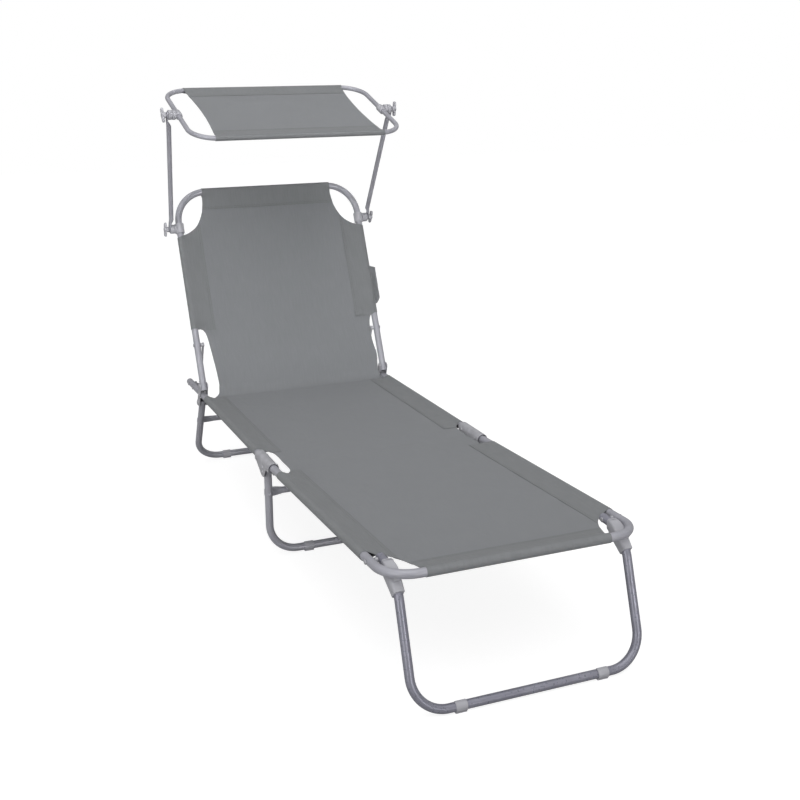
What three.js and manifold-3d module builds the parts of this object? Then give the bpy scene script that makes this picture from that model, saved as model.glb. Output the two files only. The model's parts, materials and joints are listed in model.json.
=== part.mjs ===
// Folding sun lounger with a tilting sun canopy, in millimetres.
// +X is to the right as seen from the foot end, +Y runs from foot to head, +Z is up.
import * as THREE from 'three';
import { mergeVertices } from 'three/addons/utils/BufferGeometryUtils.js';
import Module from 'manifold-3d';

const wasm = await Module();
wasm.setup();

// Frame tube and the spans between tube centre lines
const tubeRadius = 9.5;
const tubeWall = 1;
const canopyTubeRadius = 6.5;
const halfSpan = 279.5;
const frontLegSpacing = 26;
const frontLegHalfSpan = halfSpan - frontLegSpacing;
const canopySpread = 20;
const canopyHalfSpan = halfSpan + canopySpread;

// Heights of the rails at rest, and the lengths of the sections along them
const hingeHeight = 247.2;
const footEndHeight = 272.9;
const seatEndHeight = 242.3;
const pivotSpacing = 80;
const footLength = 734.4;
const seatLength = 749;
const railTail = 7;

// Bend radii of the tube centre lines
const footBend = 65;
const backrestBend = 90;
const legBend = 72;
const kneeBend = 42;
const elbowBend = 40;
const canopyBend = 68;

// Clearances, sheet thicknesses and rivets
const gap = 0.3;
const cutOverrun = 4;
const weldDistance = 0.0001;
const rivetRadius = 3;
const rivetHeadRadius = 5.5;
const rivetHeadHeight = 2;
const rivetCollarRadius = 5.5;
const holeRadius = 3.6;

// Backrest
const backrestAngle = THREE.MathUtils.degToRad(65.33);
const backrestPivotSetback = 169;
const backrestPivotAlong = seatLength - backrestPivotSetback;
const backrestPivotRise = 30;
const backrestTail = 14;
const backrestLength = 576;

// Rear leg and its bracket plates
const rearPivotSpacing = 20;
const rearPivotAlong = backrestPivotAlong + rearPivotSpacing;
const rearPivotDrop = 23;
const rearLegTail = 8;
const rearFootRun = 109.8;
const rearClipInset = 92.5;
const rearClipX = halfSpan - rearClipInset;
const rearCrossbarDrop = 86;
const plateThickness = 2;
const plateTopRadius = 9.5;
const plateLowRadius = 12;
const plateRivetSpacing = 12;
const plateRailRivetAlong = backrestPivotAlong + plateRivetSpacing;
const stopPinAlong = 14;
const stopPinMargin = 3;

// Middle leg and its hinge covers
const middleLegSetback = 6;
const middleLegTopDrop = 4;
const middleClipInset = 99.5;
const middleClipX = halfSpan - middleClipInset;
const middleCrossbarDrop = 81;
const coverInnerRadius = 12.4;
const coverWall = 1.5;
const coverOverhang = 16;
const coverSkirt = 7;
const coverCollarMargin = 1.9;
const earDrop = 34;
const earRivetDrops = [10, 22];
const earShares = [[-1, 0], [-1, 0.25], [-0.6, 0.25], [-0.26, 1], [0.05, 1], [0.85, 0.25], [1, 0.25], [1, 0]];

// Front leg: runs and drops from its pivot on the foot rails
const frontPivotSetback = 93;
const frontLegTail = 12;
const elbowRun = 33;
const elbowDrop = 1.8;
const kneeRun = 81;
const kneeDrop = 39.8;
const frontFootRun = 157.2;
const frontClipInset = 95.5;
const frontClipX = frontLegHalfSpan - frontClipInset;

// Plastic saddle of the front leg, which the end tube rests on
const saddleHalfWidth = 11.3;
const saddleHalfDepth = 12.3;
const saddleRounding = 4;
const saddleTop = 15;
const saddleReach = 60;
const webHalfThickness = 5;
const webHalfDepth = 6;
const webTubeReach = 4;

// Crossbars of the middle and rear legs
const crossbarRadius = 8;
const crossbarFlatHalfHeight = 12;
const crossbarFlatHalfThickness = 2;
const crossbarFlatLength = 26;
const crossbarTaper = 30;
const crossbarEndMargin = 7;
const crossbarRivetRadius = 2.5;

// Floor clips
const clipWall = 1.8;
const clipLength = 24;
const clipPadHalfWidth = 7;
const clipOpening = THREE.MathUtils.degToRad(56);
const clipOpeningAim = THREE.MathUtils.degToRad(48);

// End plugs
const plugFlange = 2.5;
const plugDepth = 8;
const plugClearance = 0.9;

// Backrest stays and the notch plates on the rails behind the hinge
const stayPivotAlong = 120;
const stayLength = 135;
const stayAngle = THREE.MathUtils.degToRad(-133.1);
const stayThickness = 3;
const stayInset = 6.2;
const stayTopRadius = 7;
const stayEndRadius = 6;
const pegRadius = 2.5;
const pegLength = 3.7;
const notchPlateInset = 2.6;
const notchPlateThickness = 3;
const notchPlateSpacing = 84;
const notchPlateStart = backrestPivotAlong + notchPlateSpacing;
const notchPlateLength = 76;
const notchPlateTop = 10.6;
const notchPlateFall = 10.2;
const notchPlateDepth = 9;
const notchHalfWidth = 3.4;
const notchDepth = 4.5;
const notchShares = [0.21, 0.43, 0.65, 0.87];
const notchRivetShares = [0.18, 0.82];

// Canopy arms and clamps
const armPivotAlong = 469;
const armLength = 364.3;
const armAngle = THREE.MathUtils.degToRad(113.5);
const armRadius = 6.6;
const armFlatHalfThickness = 1.8;
const armFlatHalfWidth = 8.8;
const armTip = 9;
const armFlatLength = 14.5;
const armTaper = 20;
const armTipShare = 0.5;
const clampReach = 27.7;
const clampLength = 29;
const clampWall = 3.4;
const clampBossRadius = 13.5;
const studReach = 5;

// Canopy frame
const canopyTilt = THREE.MathUtils.degToRad(17.4);
const canopyFront = 176;
const canopyRear = 185;
const canopySplit = 0.6;

// Knobs
const knobReach = 21;
const knobHalfWidth = 6.5;
const knobThickness = 8;
const knobHubRadius = 8;
const knobHubLength = 5.5;
const knobGap = 1.2;
const lowerKnobLeans = { left: THREE.MathUtils.degToRad(10), right: THREE.MathUtils.degToRad(27) };
const upperKnobLeans = { left: THREE.MathUtils.degToRad(-29), right: THREE.MathUtils.degToRad(7) };

// Fabric: thickness, sleeve seams and the ends of the sleeves
const clothThickness = 1.2;
const sheetThickness = 1.6;
const sleeveClearance = 0.5;
const sideSeam = 47;
const backrestSeam = 53;
const endSeam = 46;
const canopySeam = 42;
const flapLength = 36;
const flapInset = 31;
const footSleeveStart = 51;
const footSleeveSetback = 132.4;
const footSleeveEnd = footLength - footSleeveSetback;
const footEndSleeveInset = 76.5;
const footEndSleeveHalf = halfSpan - footEndSleeveInset;
const footCutInset = 64;
const footCutSetback = 85;
const seatSleeveStart = 46;
const seatSleeveSetback = 42;
const seatSleeveEnd = backrestPivotAlong - seatSleeveSetback;
const seatSheetSetback = 18;
const seatSheetEnd = backrestPivotAlong - seatSheetSetback;
const hingeFlapInset = 43;
const hingeCutRound = 14;
const backrestFlap = 24;
const backrestSleeveStart = 171;
const backrestSleeveEnd = 440;
const backrestCutInset = 36;
const backrestCutAlong = 120;
const backrestTopSleeveInset = 80.5;
const backrestTopSleeveHalf = halfSpan - backrestTopSleeveInset;
const backrestTopCutInset = 74;
const backrestTopCutAlong = 470;
const canopySleeveInset = 58.5;
const canopySleeveHalf = canopyHalfSpan - canopySleeveInset;
const canopyWaist = 24;

// Side pocket behind the right sleeve of the backrest
const pocketStart = 199;
const pocketHeight = 113;
const pocketInset = 11.2;
const pocketWidth = 47;
const pocketDepth = 33;
const pocketWall = 1.5;
const pocketShares = [[0, 0.74, 0.72], [0.16, 1, 1], [0.75, 0.94, 0.86], [1, 0.88, 0.6]];

// Facet counts
const tubeSides = 12;
const boreSides = 8;
const rivetSides = 8;
const knobSides = 12;
const knobArcSteps = 6;
const capArcSteps = 5;
const sleeveArcSteps = 8;
const cutCurveSteps = 4;
const bendStep = THREE.MathUtils.degToRad(19);

// Colours and finishes
const steel = { color: 0x94949c, roughness: 0.45, metalness: 0.55 };
const zinc = { color: 0xb4b4ba, roughness: 0.4, metalness: 0.7 };
const plastic = { color: 0xb3b3b8, roughness: 0.55, metalness: 0 };
const fabric = { color: 0x808182, roughness: 0.9, metalness: 0 };

const xAxis = new THREE.Vector3(1, 0, 0);
const yAxis = new THREE.Vector3(0, 1, 0);
const zAxis = new THREE.Vector3(0, 0, 1);
const sides = [{ side: -1, word: 'left' }, { side: 1, word: 'right' }];

// A geometry with shared corners merged and its faces pointing out
function tidy(geometry) {
  const bare = geometry.clone();
  bare.deleteAttribute('normal');
  bare.deleteAttribute('uv');
  const merged = mergeVertices(bare, weldDistance);
  const position = merged.attributes.position;
  const index = merged.index;
  const corners = [new THREE.Vector3(), new THREE.Vector3(), new THREE.Vector3()];
  let volume = 0;
  for (let i = 0; i < index.count; i += 3) {
    corners.forEach((corner, k) => corner.fromBufferAttribute(position, index.getX(i + k)));
    volume += corners[0].dot(corners[1].cross(corners[2]));
  }
  if (volume < 0) {
    for (let i = 0; i < index.count; i += 3) {
      const first = index.getX(i);
      index.setX(i, index.getX(i + 1));
      index.setX(i + 1, first);
    }
  }
  return merged;
}

function solidOf(geometry) {
  const merged = tidy(geometry);
  const vertProperties = new Float32Array(merged.attributes.position.array);
  const triVerts = new Uint32Array(merged.index.array);
  return new wasm.Manifold(new wasm.Mesh({ numProp: 3, vertProperties, triVerts }));
}

function geometryOf(solid) {
  const { vertProperties, triVerts } = solid.getMesh();
  const geometry = new THREE.BufferGeometry();
  geometry.setAttribute('position', new THREE.BufferAttribute(new Float32Array(vertProperties), 3));
  geometry.setIndex([...triVerts]);
  return geometry;
}

function join(...geometries) {
  return geometryOf(geometries.map(solidOf).reduce((whole, next) => whole.add(next)));
}

function cut(geometry, ...tools) {
  return geometryOf(tools.map(solidOf).reduce((rest, tool) => rest.subtract(tool), solidOf(geometry)));
}

// The geometry of one group's frame, given in another group's frame
function carried(geometry, from, to) {
  from.updateWorldMatrix(true, false);
  to.updateWorldMatrix(true, false);
  const toInverse = to.matrixWorld.clone().invert();
  return geometry.clone().applyMatrix4(toInverse.multiply(from.matrixWorld));
}

function circlePoints(radius, count, x = 0, y = 0) {
  const points = [];
  for (let i = 0; i < count; i += 1) {
    const angle = (2 * Math.PI * i) / count;
    points.push(new THREE.Vector2(x + radius * Math.cos(angle), y + radius * Math.sin(angle)));
  }
  return points;
}

function arcPoints(radius, start, end, steps, x = 0, y = 0) {
  const points = [];
  for (let i = 0; i <= steps; i += 1) {
    const angle = start + ((end - start) * i) / steps;
    points.push(new THREE.Vector2(x + radius * Math.cos(angle), y + radius * Math.sin(angle)));
  }
  return points;
}

// A path that stops only where a tube bends, so that its straight runs stay plain
class BentPath extends THREE.Curve {
  constructor(corners) {
    super();
    this.stations = [];
    const last = corners.length - 1;
    corners.forEach(({ point, radius }, i) => {
      if (i === 0 || i === last) {
        const other = corners[i === 0 ? 1 : last - 1].point;
        const tangent = other.clone().sub(point).normalize().multiplyScalar(i === 0 ? 1 : -1);
        this.stations.push({ point: point.clone(), tangent });
        return;
      }
      const before = point.clone().sub(corners[i - 1].point).normalize();
      const after = corners[i + 1].point.clone().sub(point).normalize();
      const turn = before.angleTo(after);
      const inward = after.clone().sub(before).normalize();
      const centre = point.clone().addScaledVector(inward, radius / Math.cos(turn / 2));
      const steps = Math.max(2, Math.ceil(turn / bendStep));
      const axis = before.clone().cross(after).normalize();
      const startArm = point.clone().addScaledVector(before, -radius * Math.tan(turn / 2)).sub(centre);
      for (let k = 0; k <= steps; k += 1) {
        const angle = (turn * k) / steps;
        this.stations.push({
          point: startArm.clone().applyAxisAngle(axis, angle).add(centre),
          tangent: before.clone().applyAxisAngle(axis, angle),
        });
      }
    });
  }

  stationAt(share) {
    return this.stations[Math.round(share * (this.stations.length - 1))];
  }

  getPointAt(share, target = new THREE.Vector3()) {
    return target.copy(this.stationAt(share).point);
  }

  getTangentAt(share, target = new THREE.Vector3()) {
    return target.copy(this.stationAt(share).tangent);
  }
}

function vec(x, y, z) {
  return new THREE.Vector3(x, y, z);
}

function swept(shape, corners) {
  const path = new BentPath(corners);
  return new THREE.ExtrudeGeometry(shape, { steps: path.stations.length - 1, extrudePath: path });
}

// A tube along corners; without a wall it is a solid bar
function tube(corners, radius, wall = 0) {
  const shape = new THREE.Shape(circlePoints(radius, tubeSides));
  if (wall > 0) {
    shape.holes.push(new THREE.Path(circlePoints(radius - wall, boreSides)));
  }
  return swept(shape, corners);
}

// A U of tube that is open at its start: down or along one side, across and back
function uTube(start, corner, extra = []) {
  const mirrored = (p) => vec(-p.x, p.y, p.z);
  const near = [{ point: start }, ...extra, corner];
  const far = [...near].reverse().map(({ point, radius }) => ({ point: mirrored(point), radius }));
  return [...near, ...far];
}

// An outline drawn in the side view, with y along and z up, as a plate between two places in x
function sidePlate(shape, xStart, xEnd) {
  const low = Math.min(xStart, xEnd);
  const geometry = new THREE.ExtrudeGeometry(shape, { depth: Math.abs(xEnd - xStart), bevelEnabled: false });
  geometry.applyMatrix4(new THREE.Matrix4().makeBasis(yAxis, zAxis, xAxis));
  return geometry.translate(low, 0, 0);
}

function crossPin(radius, xStart, xEnd, y, z, count = rivetSides) {
  return sidePlate(new THREE.Shape(circlePoints(radius, count, y, z)), xStart, xEnd);
}

// A pin that lies along y
function alongPin(radius, yStart, yEnd, x, z) {
  return tube([{ point: vec(x, yStart, z) }, { point: vec(x, yEnd, z) }], radius);
}

// A strap outline round two points with its own radius at each
function strap(yA, zA, radiusA, yB, zB, radiusB) {
  const aim = Math.atan2(zB - zA, yB - yA);
  const open = Math.acos((radiusA - radiusB) / Math.hypot(yB - yA, zB - zA));
  return new THREE.Shape([
    ...arcPoints(radiusA, aim + open, aim + 2 * Math.PI - open, capArcSteps, yA, zA),
    ...arcPoints(radiusB, aim - open, aim + open, capArcSteps, yB, zB),
  ]);
}

// A body turned about a line along x, from pairs of place in x and radius
function turned(profile, count, y, z) {
  const points = profile.map(([x, radius]) => new THREE.Vector2(radius, x));
  const geometry = new THREE.LatheGeometry(points, count);
  geometry.rotateZ(-Math.PI / 2);
  return geometry.translate(0, y, z);
}

// A rivet along x with a domed head at each end and collars that fill the spaces given
function rivet(xInner, xOuter, collars, y, z) {
  const dome = rivetHeadHeight / 2;
  const profile = [
    [xInner - rivetHeadHeight, 0],
    [xInner - rivetHeadHeight, rivetRadius],
    [xInner - dome, rivetHeadRadius],
    [xInner, rivetHeadRadius],
    [xInner, rivetRadius],
  ];
  collars.forEach(([start, end]) => {
    profile.push([start, rivetRadius]);
    profile.push([start, rivetCollarRadius]);
    profile.push([end, rivetCollarRadius]);
    profile.push([end, rivetRadius]);
  });
  profile.push([xOuter, rivetRadius]);
  profile.push([xOuter, rivetHeadRadius]);
  profile.push([xOuter + dome, rivetHeadRadius]);
  profile.push([xOuter + rivetHeadHeight, rivetRadius]);
  profile.push([xOuter + rivetHeadHeight, 0]);
  return turned(profile, rivetSides, y, z);
}

// The same body on the left or the right side
function onSide(geometry, side) {
  return side < 0 ? geometry.clone().scale(-1, 1, 1) : geometry;
}

// A closed skin over rings of points, each ring with as many points as the next
function loft(rings) {
  const count = rings[0].length;
  const positions = rings.flat().flatMap((p) => [p.x, p.y, p.z]);
  const index = [];
  for (let r = 0; r + 1 < rings.length; r += 1) {
    for (let i = 0; i < count; i += 1) {
      const a = r * count + i;
      const b = r * count + ((i + 1) % count);
      index.push(a, b, b + count, a, b + count, a + count);
    }
  }
  const top = (rings.length - 1) * count;
  for (let i = 1; i + 1 < count; i += 1) {
    index.push(0, i + 1, i, top, top + i, top + i + 1);
  }
  const geometry = new THREE.BufferGeometry();
  geometry.setAttribute('position', new THREE.Float32BufferAttribute(positions, 3));
  geometry.setIndex(index);
  return geometry;
}

function place(parent, name, geometry, finish) {
  const mesh = new THREE.Mesh(tidy(geometry), new THREE.MeshStandardMaterial(finish));
  mesh.name = name;
  parent.add(mesh);
  return mesh;
}

function frameAt(parent, y, z, turn) {
  const group = new THREE.Group();
  group.position.set(0, y, z);
  group.rotation.x = turn;
  parent.add(group);
  return group;
}

function heightOf(group) {
  return group.getWorldPosition(new THREE.Vector3()).z;
}

// The frames of the sections: each origin is the pivot that the section turns about
const footSlope = Math.asin((footEndHeight - hingeHeight) / footLength);
const seatSlope = Math.asin((hingeHeight - seatEndHeight) / seatLength);
const floorCentre = clipWall + gap + tubeRadius;

const lounger = new THREE.Group();
const seat = frameAt(lounger, pivotSpacing / 2, hingeHeight, -seatSlope);
const middle = frameAt(lounger, 0, hingeHeight, 0);
const foot = frameAt(middle, -pivotSpacing / 2, 0, -footSlope);
const frontLeg = frameAt(foot, frontPivotSetback - footLength, 0, footSlope);
const rearLeg = frameAt(seat, rearPivotAlong, -rearPivotDrop, seatSlope);
const backrest = frameAt(seat, backrestPivotAlong, backrestPivotRise, backrestAngle + seatSlope);
const stays = frameAt(backrest, stayPivotAlong, 0, stayAngle);
const arms = frameAt(backrest, armPivotAlong, 0, armAngle - backrestAngle);
const canopy = frameAt(arms, armLength, 0, canopyTilt - armAngle);

// Faces of the tubes at the rails, and of the plates on each side of them
const railOuter = halfSpan + tubeRadius;
const railInner = halfSpan - tubeRadius;
const outerPlateStart = railOuter + gap;
const outerPlateEnd = outerPlateStart + plateThickness;
const innerPlateEnd = railInner - gap;
const innerPlateStart = innerPlateEnd - plateThickness;

// Foot frame
const frontPivotAlong = frontPivotSetback - footLength;
const footCorners = uTube(
  vec(halfSpan, railTail, 0),
  { point: vec(halfSpan, -footLength, 0), radius: footBend },
);
place(foot, 'foot_frame', cut(
  tube(footCorners, tubeRadius, tubeWall),
  ...sides.flatMap(({ side }) => [0, frontPivotAlong].map((along) => (
    crossPin(holeRadius, side * (railInner - cutOverrun), side * (railOuter + cutOverrun), along, 0)
  ))),
), steel);

// Plug for an open tube end whose mouth is at the place given, facing along y
function plug(x, mouth, facing) {
  const boreRadius = tubeRadius - tubeWall - plugClearance;
  const face = mouth + facing * gap;
  const flange = alongPin(tubeRadius, face, face + facing * plugFlange, x, 0);
  const stem = alongPin(boreRadius, mouth - facing * plugDepth, face + facing * plugFlange / 2, x, 0);
  return join(flange, stem);
}

// The stop pin of the rear leg lies behind the leg, just under its pivot
const rearLegDrop = heightOf(rearLeg) - floorCentre;
const rearLegLean = Math.atan2(rearFootRun, rearLegDrop);
const stopPinReach = tubeRadius + gap + rivetRadius;
const stopPinY = rearPivotAlong + stopPinAlong * Math.sin(rearLegLean) + stopPinReach * Math.cos(rearLegLean);
const stopPinZ = stopPinReach * Math.sin(rearLegLean) - stopPinAlong * Math.cos(rearLegLean) - rearPivotDrop;

const notchRivetPlaces = notchRivetShares.map((share) => notchPlateStart + share * notchPlateLength);

// A bracket plate that joins the backrest pivot, the rail and the leg pivot
function bracketPlate(xStart, xEnd) {
  const upper = strap(
    backrestPivotAlong, backrestPivotRise, plateTopRadius,
    rearPivotAlong, -rearPivotDrop, plateLowRadius,
  );
  const lower = strap(
    rearPivotAlong, -rearPivotDrop, plateLowRadius,
    stopPinY, stopPinZ, rivetRadius + stopPinMargin,
  );
  const holes = [
    [backrestPivotAlong, backrestPivotRise],
    [rearPivotAlong, -rearPivotDrop],
  ];
  return cut(
    join(sidePlate(upper, xStart, xEnd), sidePlate(lower, xStart, xEnd)),
    ...holes.map(([y, z]) => crossPin(holeRadius, xStart - cutOverrun, xEnd + cutOverrun, y, z)),
  );
}

// Seat rails with their plugs, bracket plates, rivets and notch plates
sides.forEach(({ side, word }) => {
  const rail = [{ point: vec(side * halfSpan, -railTail, 0) }, { point: vec(side * halfSpan, seatLength, 0) }];
  const railHoles = [0, plateRailRivetAlong, ...notchRivetPlaces].map((along) => (
    crossPin(holeRadius, side * (railInner - cutOverrun), side * (railOuter + cutOverrun), along, 0)
  ));
  place(seat, `seat_rail_${word}`, cut(tube(rail, tubeRadius, tubeWall), ...railHoles), steel);
  place(seat, `rail_plug_${word}`, plug(side * halfSpan, seatLength, 1), plastic);

  const pinEnd = innerPlateStart - gap;
  const outerPlate = join(
    bracketPlate(outerPlateStart, outerPlateEnd),
    crossPin(rivetRadius, pinEnd - rivetHeadHeight, outerPlateEnd + rivetHeadHeight, plateRailRivetAlong, 0),
    crossPin(rivetHeadRadius, outerPlateStart, outerPlateEnd + rivetHeadHeight, plateRailRivetAlong, 0),
    crossPin(rivetHeadRadius, pinEnd - rivetHeadHeight, pinEnd, plateRailRivetAlong, 0),
    crossPin(rivetRadius, innerPlateStart, outerPlateEnd, stopPinY, stopPinZ),
  );
  place(seat, `bracket_plate_${word}_outer`, onSide(outerPlate, side), zinc);
  const innerPlate = cut(
    bracketPlate(innerPlateStart, innerPlateEnd),
    crossPin(holeRadius, innerPlateStart - cutOverrun, innerPlateEnd + cutOverrun, plateRailRivetAlong, 0),
    crossPin(holeRadius, innerPlateStart - cutOverrun, innerPlateEnd + cutOverrun, stopPinY, stopPinZ),
  );
  place(seat, `bracket_plate_${word}_inner`, onSide(innerPlate, side), zinc);

  const rivetStart = innerPlateStart - gap;
  const rivetEnd = outerPlateEnd + gap;
  const backrestRivet = rivet(rivetStart, rivetEnd, [], backrestPivotAlong, backrestPivotRise);
  place(seat, `backrest_pivot_rivet_${word}`, onSide(backrestRivet, side), zinc);
  const rearLegRivet = rivet(rivetStart, rivetEnd, [], rearPivotAlong, -rearPivotDrop);
  place(seat, `rear_leg_pivot_rivet_${word}`, onSide(rearLegRivet, side), zinc);

  const plateEnd = railInner - notchPlateInset;
  const plateStart = plateEnd - notchPlateThickness;
  const topAt = (share) => notchPlateTop - share * notchPlateFall;
  const alongAt = (share) => notchPlateStart + share * notchPlateLength;
  const outline = [new THREE.Vector2(notchPlateStart, -notchPlateDepth)];
  outline.push(new THREE.Vector2(alongAt(1), -notchPlateDepth));
  outline.push(new THREE.Vector2(alongAt(1), topAt(1)));
  [...notchShares].reverse().forEach((share) => {
    outline.push(new THREE.Vector2(alongAt(share) + notchHalfWidth, topAt(share)));
    outline.push(new THREE.Vector2(alongAt(share), topAt(share) - notchDepth));
    outline.push(new THREE.Vector2(alongAt(share) - notchHalfWidth, topAt(share)));
  });
  outline.push(new THREE.Vector2(notchPlateStart, notchPlateTop));
  const notchPlate = join(
    sidePlate(new THREE.Shape(outline), plateStart, plateEnd),
    ...notchRivetPlaces.flatMap((along) => [
      crossPin(rivetCollarRadius, plateStart, railInner - gap, along, 0),
      crossPin(rivetRadius, plateStart, railOuter + rivetHeadHeight, along, 0),
      crossPin(rivetHeadRadius, railOuter + gap, railOuter + rivetHeadHeight, along, 0),
    ]),
  );
  place(seat, `notch_plate_${word}`, onSide(notchPlate, side), zinc);
});

// A floor clip round a leg's floor tube, flat where it stands on the ground
function floorClip(x, y, z) {
  const inner = tubeRadius + gap;
  const outer = inner + clipWall;
  const start = clipOpeningAim + clipOpening / 2;
  const end = clipOpeningAim - clipOpening / 2 + 2 * Math.PI;
  const padStart = (3 * Math.PI) / 2 - Math.asin(clipPadHalfWidth / outer);
  const padEnd = (3 * Math.PI) / 2 + Math.asin(clipPadHalfWidth / outer);
  const shape = new THREE.Shape([
    ...arcPoints(outer, start, padStart, capArcSteps, y, z),
    new THREE.Vector2(y - clipPadHalfWidth, z - outer),
    new THREE.Vector2(y + clipPadHalfWidth, z - outer),
    ...arcPoints(outer, padEnd, end, capArcSteps, y, z),
    ...arcPoints(inner, end, start, sleeveArcSteps + capArcSteps, y, z),
  ]);
  return sidePlate(shape, x - clipLength / 2, x + clipLength / 2);
}

// A crossbar with flattened ends behind the two legs, with its rivets through them.
// It is made level, along x, with the leg tubes in front of it, and turned with the leg.
function crossbar(y, z, lean) {
  const endX = halfSpan + crossbarEndMargin;
  const flatX = halfSpan - crossbarFlatLength / 2;
  const roundX = flatX - crossbarTaper;
  const offset = tubeRadius + gap + crossbarFlatHalfThickness;
  const ring = (x, halfThickness, halfHeight, squareness) => circlePoints(1, tubeSides).map((p) => vec(
    x,
    offset + halfThickness * THREE.MathUtils.clamp(p.x * squareness, -1, 1),
    halfHeight * p.y,
  ));
  const flat = [crossbarFlatHalfThickness, crossbarFlatHalfHeight, 3];
  const round = [crossbarRadius, crossbarRadius, 1];
  const stationsX = [[endX, flat], [flatX, flat], [roundX, round]];
  const stations = [...stationsX.map(([x, form]) => [-x, form]), ...[...stationsX].reverse()];
  const bar = loft(stations.map(([x, form]) => ring(x, ...form)));
  const front = -tubeRadius - gap;
  const fasteners = sides.flatMap(({ side }) => [
    alongPin(crossbarRivetRadius, front - rivetHeadHeight, offset, side * halfSpan, 0),
    alongPin(rivetHeadRadius, front - rivetHeadHeight, front, side * halfSpan, 0),
  ]);
  return join(bar, ...fasteners).rotateX(lean).translate(0, y, z);
}

function crossbarHoles(y, z, lean) {
  return sides.map(({ side }) => (
    alongPin(holeRadius, -tubeRadius - cutOverrun, tubeRadius + cutOverrun, side * halfSpan, 0)
      .rotateX(lean)
      .translate(0, y, z)
  ));
}

// Middle leg, crossbar and clips
const middleLegDrop = hingeHeight - floorCentre;
const middleLegCorners = uTube(
  vec(halfSpan, -middleLegSetback, -middleLegTopDrop),
  { point: vec(halfSpan, -middleLegSetback, -middleLegDrop), radius: legBend },
);
place(middle, 'middle_leg', cut(
  tube(middleLegCorners, tubeRadius, tubeWall),
  ...sides.flatMap(({ side }) => earRivetDrops.map((drop) => crossPin(
    holeRadius, side * (railInner - cutOverrun), side * (railOuter + cutOverrun), -middleLegSetback, -drop,
  ))),
  ...crossbarHoles(-middleLegSetback, -middleCrossbarDrop, 0),
), steel);
place(middle, 'middle_leg_crossbar', crossbar(-middleLegSetback, -middleCrossbarDrop, 0), steel);
sides.forEach(({ side, word }) => {
  const clip = floorClip(side * middleClipX, -middleLegSetback, -middleLegDrop);
  place(middle, `middle_leg_clip_${word}`, clip, plastic);
});

// Hinge covers: a channel over the rail ends with an ear on each side of the leg
const coverHalfLength = pivotSpacing / 2 + coverOverhang;
const coverOuterRadius = coverInnerRadius + coverWall;
function hingeCover() {
  const profile = new THREE.Shape([
    new THREE.Vector2(coverOuterRadius, -coverSkirt),
    ...arcPoints(coverOuterRadius, 0, Math.PI, sleeveArcSteps),
    new THREE.Vector2(-coverOuterRadius, -coverSkirt),
    new THREE.Vector2(-coverInnerRadius, -coverSkirt),
    ...arcPoints(coverInnerRadius, Math.PI, 0, sleeveArcSteps),
    new THREE.Vector2(coverInnerRadius, -coverSkirt),
  ]);
  const channel = new THREE.ExtrudeGeometry(profile, { depth: 2 * coverHalfLength, bevelEnabled: false });
  channel.rotateX(Math.PI / 2).translate(halfSpan, coverHalfLength, 0);
  const earPoints = earShares.map(([along, down]) => (
    new THREE.Vector2(along * coverHalfLength, -down * earDrop)
  ));
  const ears = [-1, 1].map((facing) => sidePlate(
    new THREE.Shape(earPoints),
    halfSpan + facing * coverInnerRadius,
    halfSpan + facing * coverOuterRadius,
  ));
  const fasteners = earRivetDrops.flatMap((drop) => [
    crossPin(rivetRadius, halfSpan - coverOuterRadius, halfSpan + coverOuterRadius, -middleLegSetback, -drop),
    ...[-1, 1].flatMap((facing) => [
      crossPin(
        rivetCollarRadius,
        halfSpan + facing * (tubeRadius + gap),
        halfSpan + facing * coverOuterRadius,
        -middleLegSetback,
        -drop,
      ),
      crossPin(
        rivetHeadRadius,
        halfSpan + facing * coverInnerRadius,
        halfSpan + facing * (coverOuterRadius + rivetHeadHeight),
        -middleLegSetback,
        -drop,
      ),
    ]),
  ]);
  const pivotHoles = [-pivotSpacing / 2, pivotSpacing / 2].map((along) => crossPin(
    holeRadius, halfSpan - coverOuterRadius - cutOverrun, halfSpan + coverOuterRadius + cutOverrun, along, 0,
  ));
  return cut(join(channel, ...ears, ...fasteners), ...pivotHoles);
}

sides.forEach(({ side, word }) => {
  place(middle, `hinge_cover_${word}`, onSide(hingeCover(), side), zinc);
  [['front', -pivotSpacing / 2], ['rear', pivotSpacing / 2]].forEach(([end, along]) => {
    const collars = [
      [halfSpan - coverInnerRadius + coverCollarMargin, halfSpan - tubeRadius - gap],
      [halfSpan + tubeRadius + gap, halfSpan + coverInnerRadius - coverCollarMargin],
    ];
    const hingeRivet = rivet(
      halfSpan - coverOuterRadius - gap, halfSpan + coverOuterRadius + gap, collars, along, 0,
    );
    place(middle, `hinge_rivet_${word}_${end}`, onSide(hingeRivet, side), zinc);
  });
});

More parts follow.
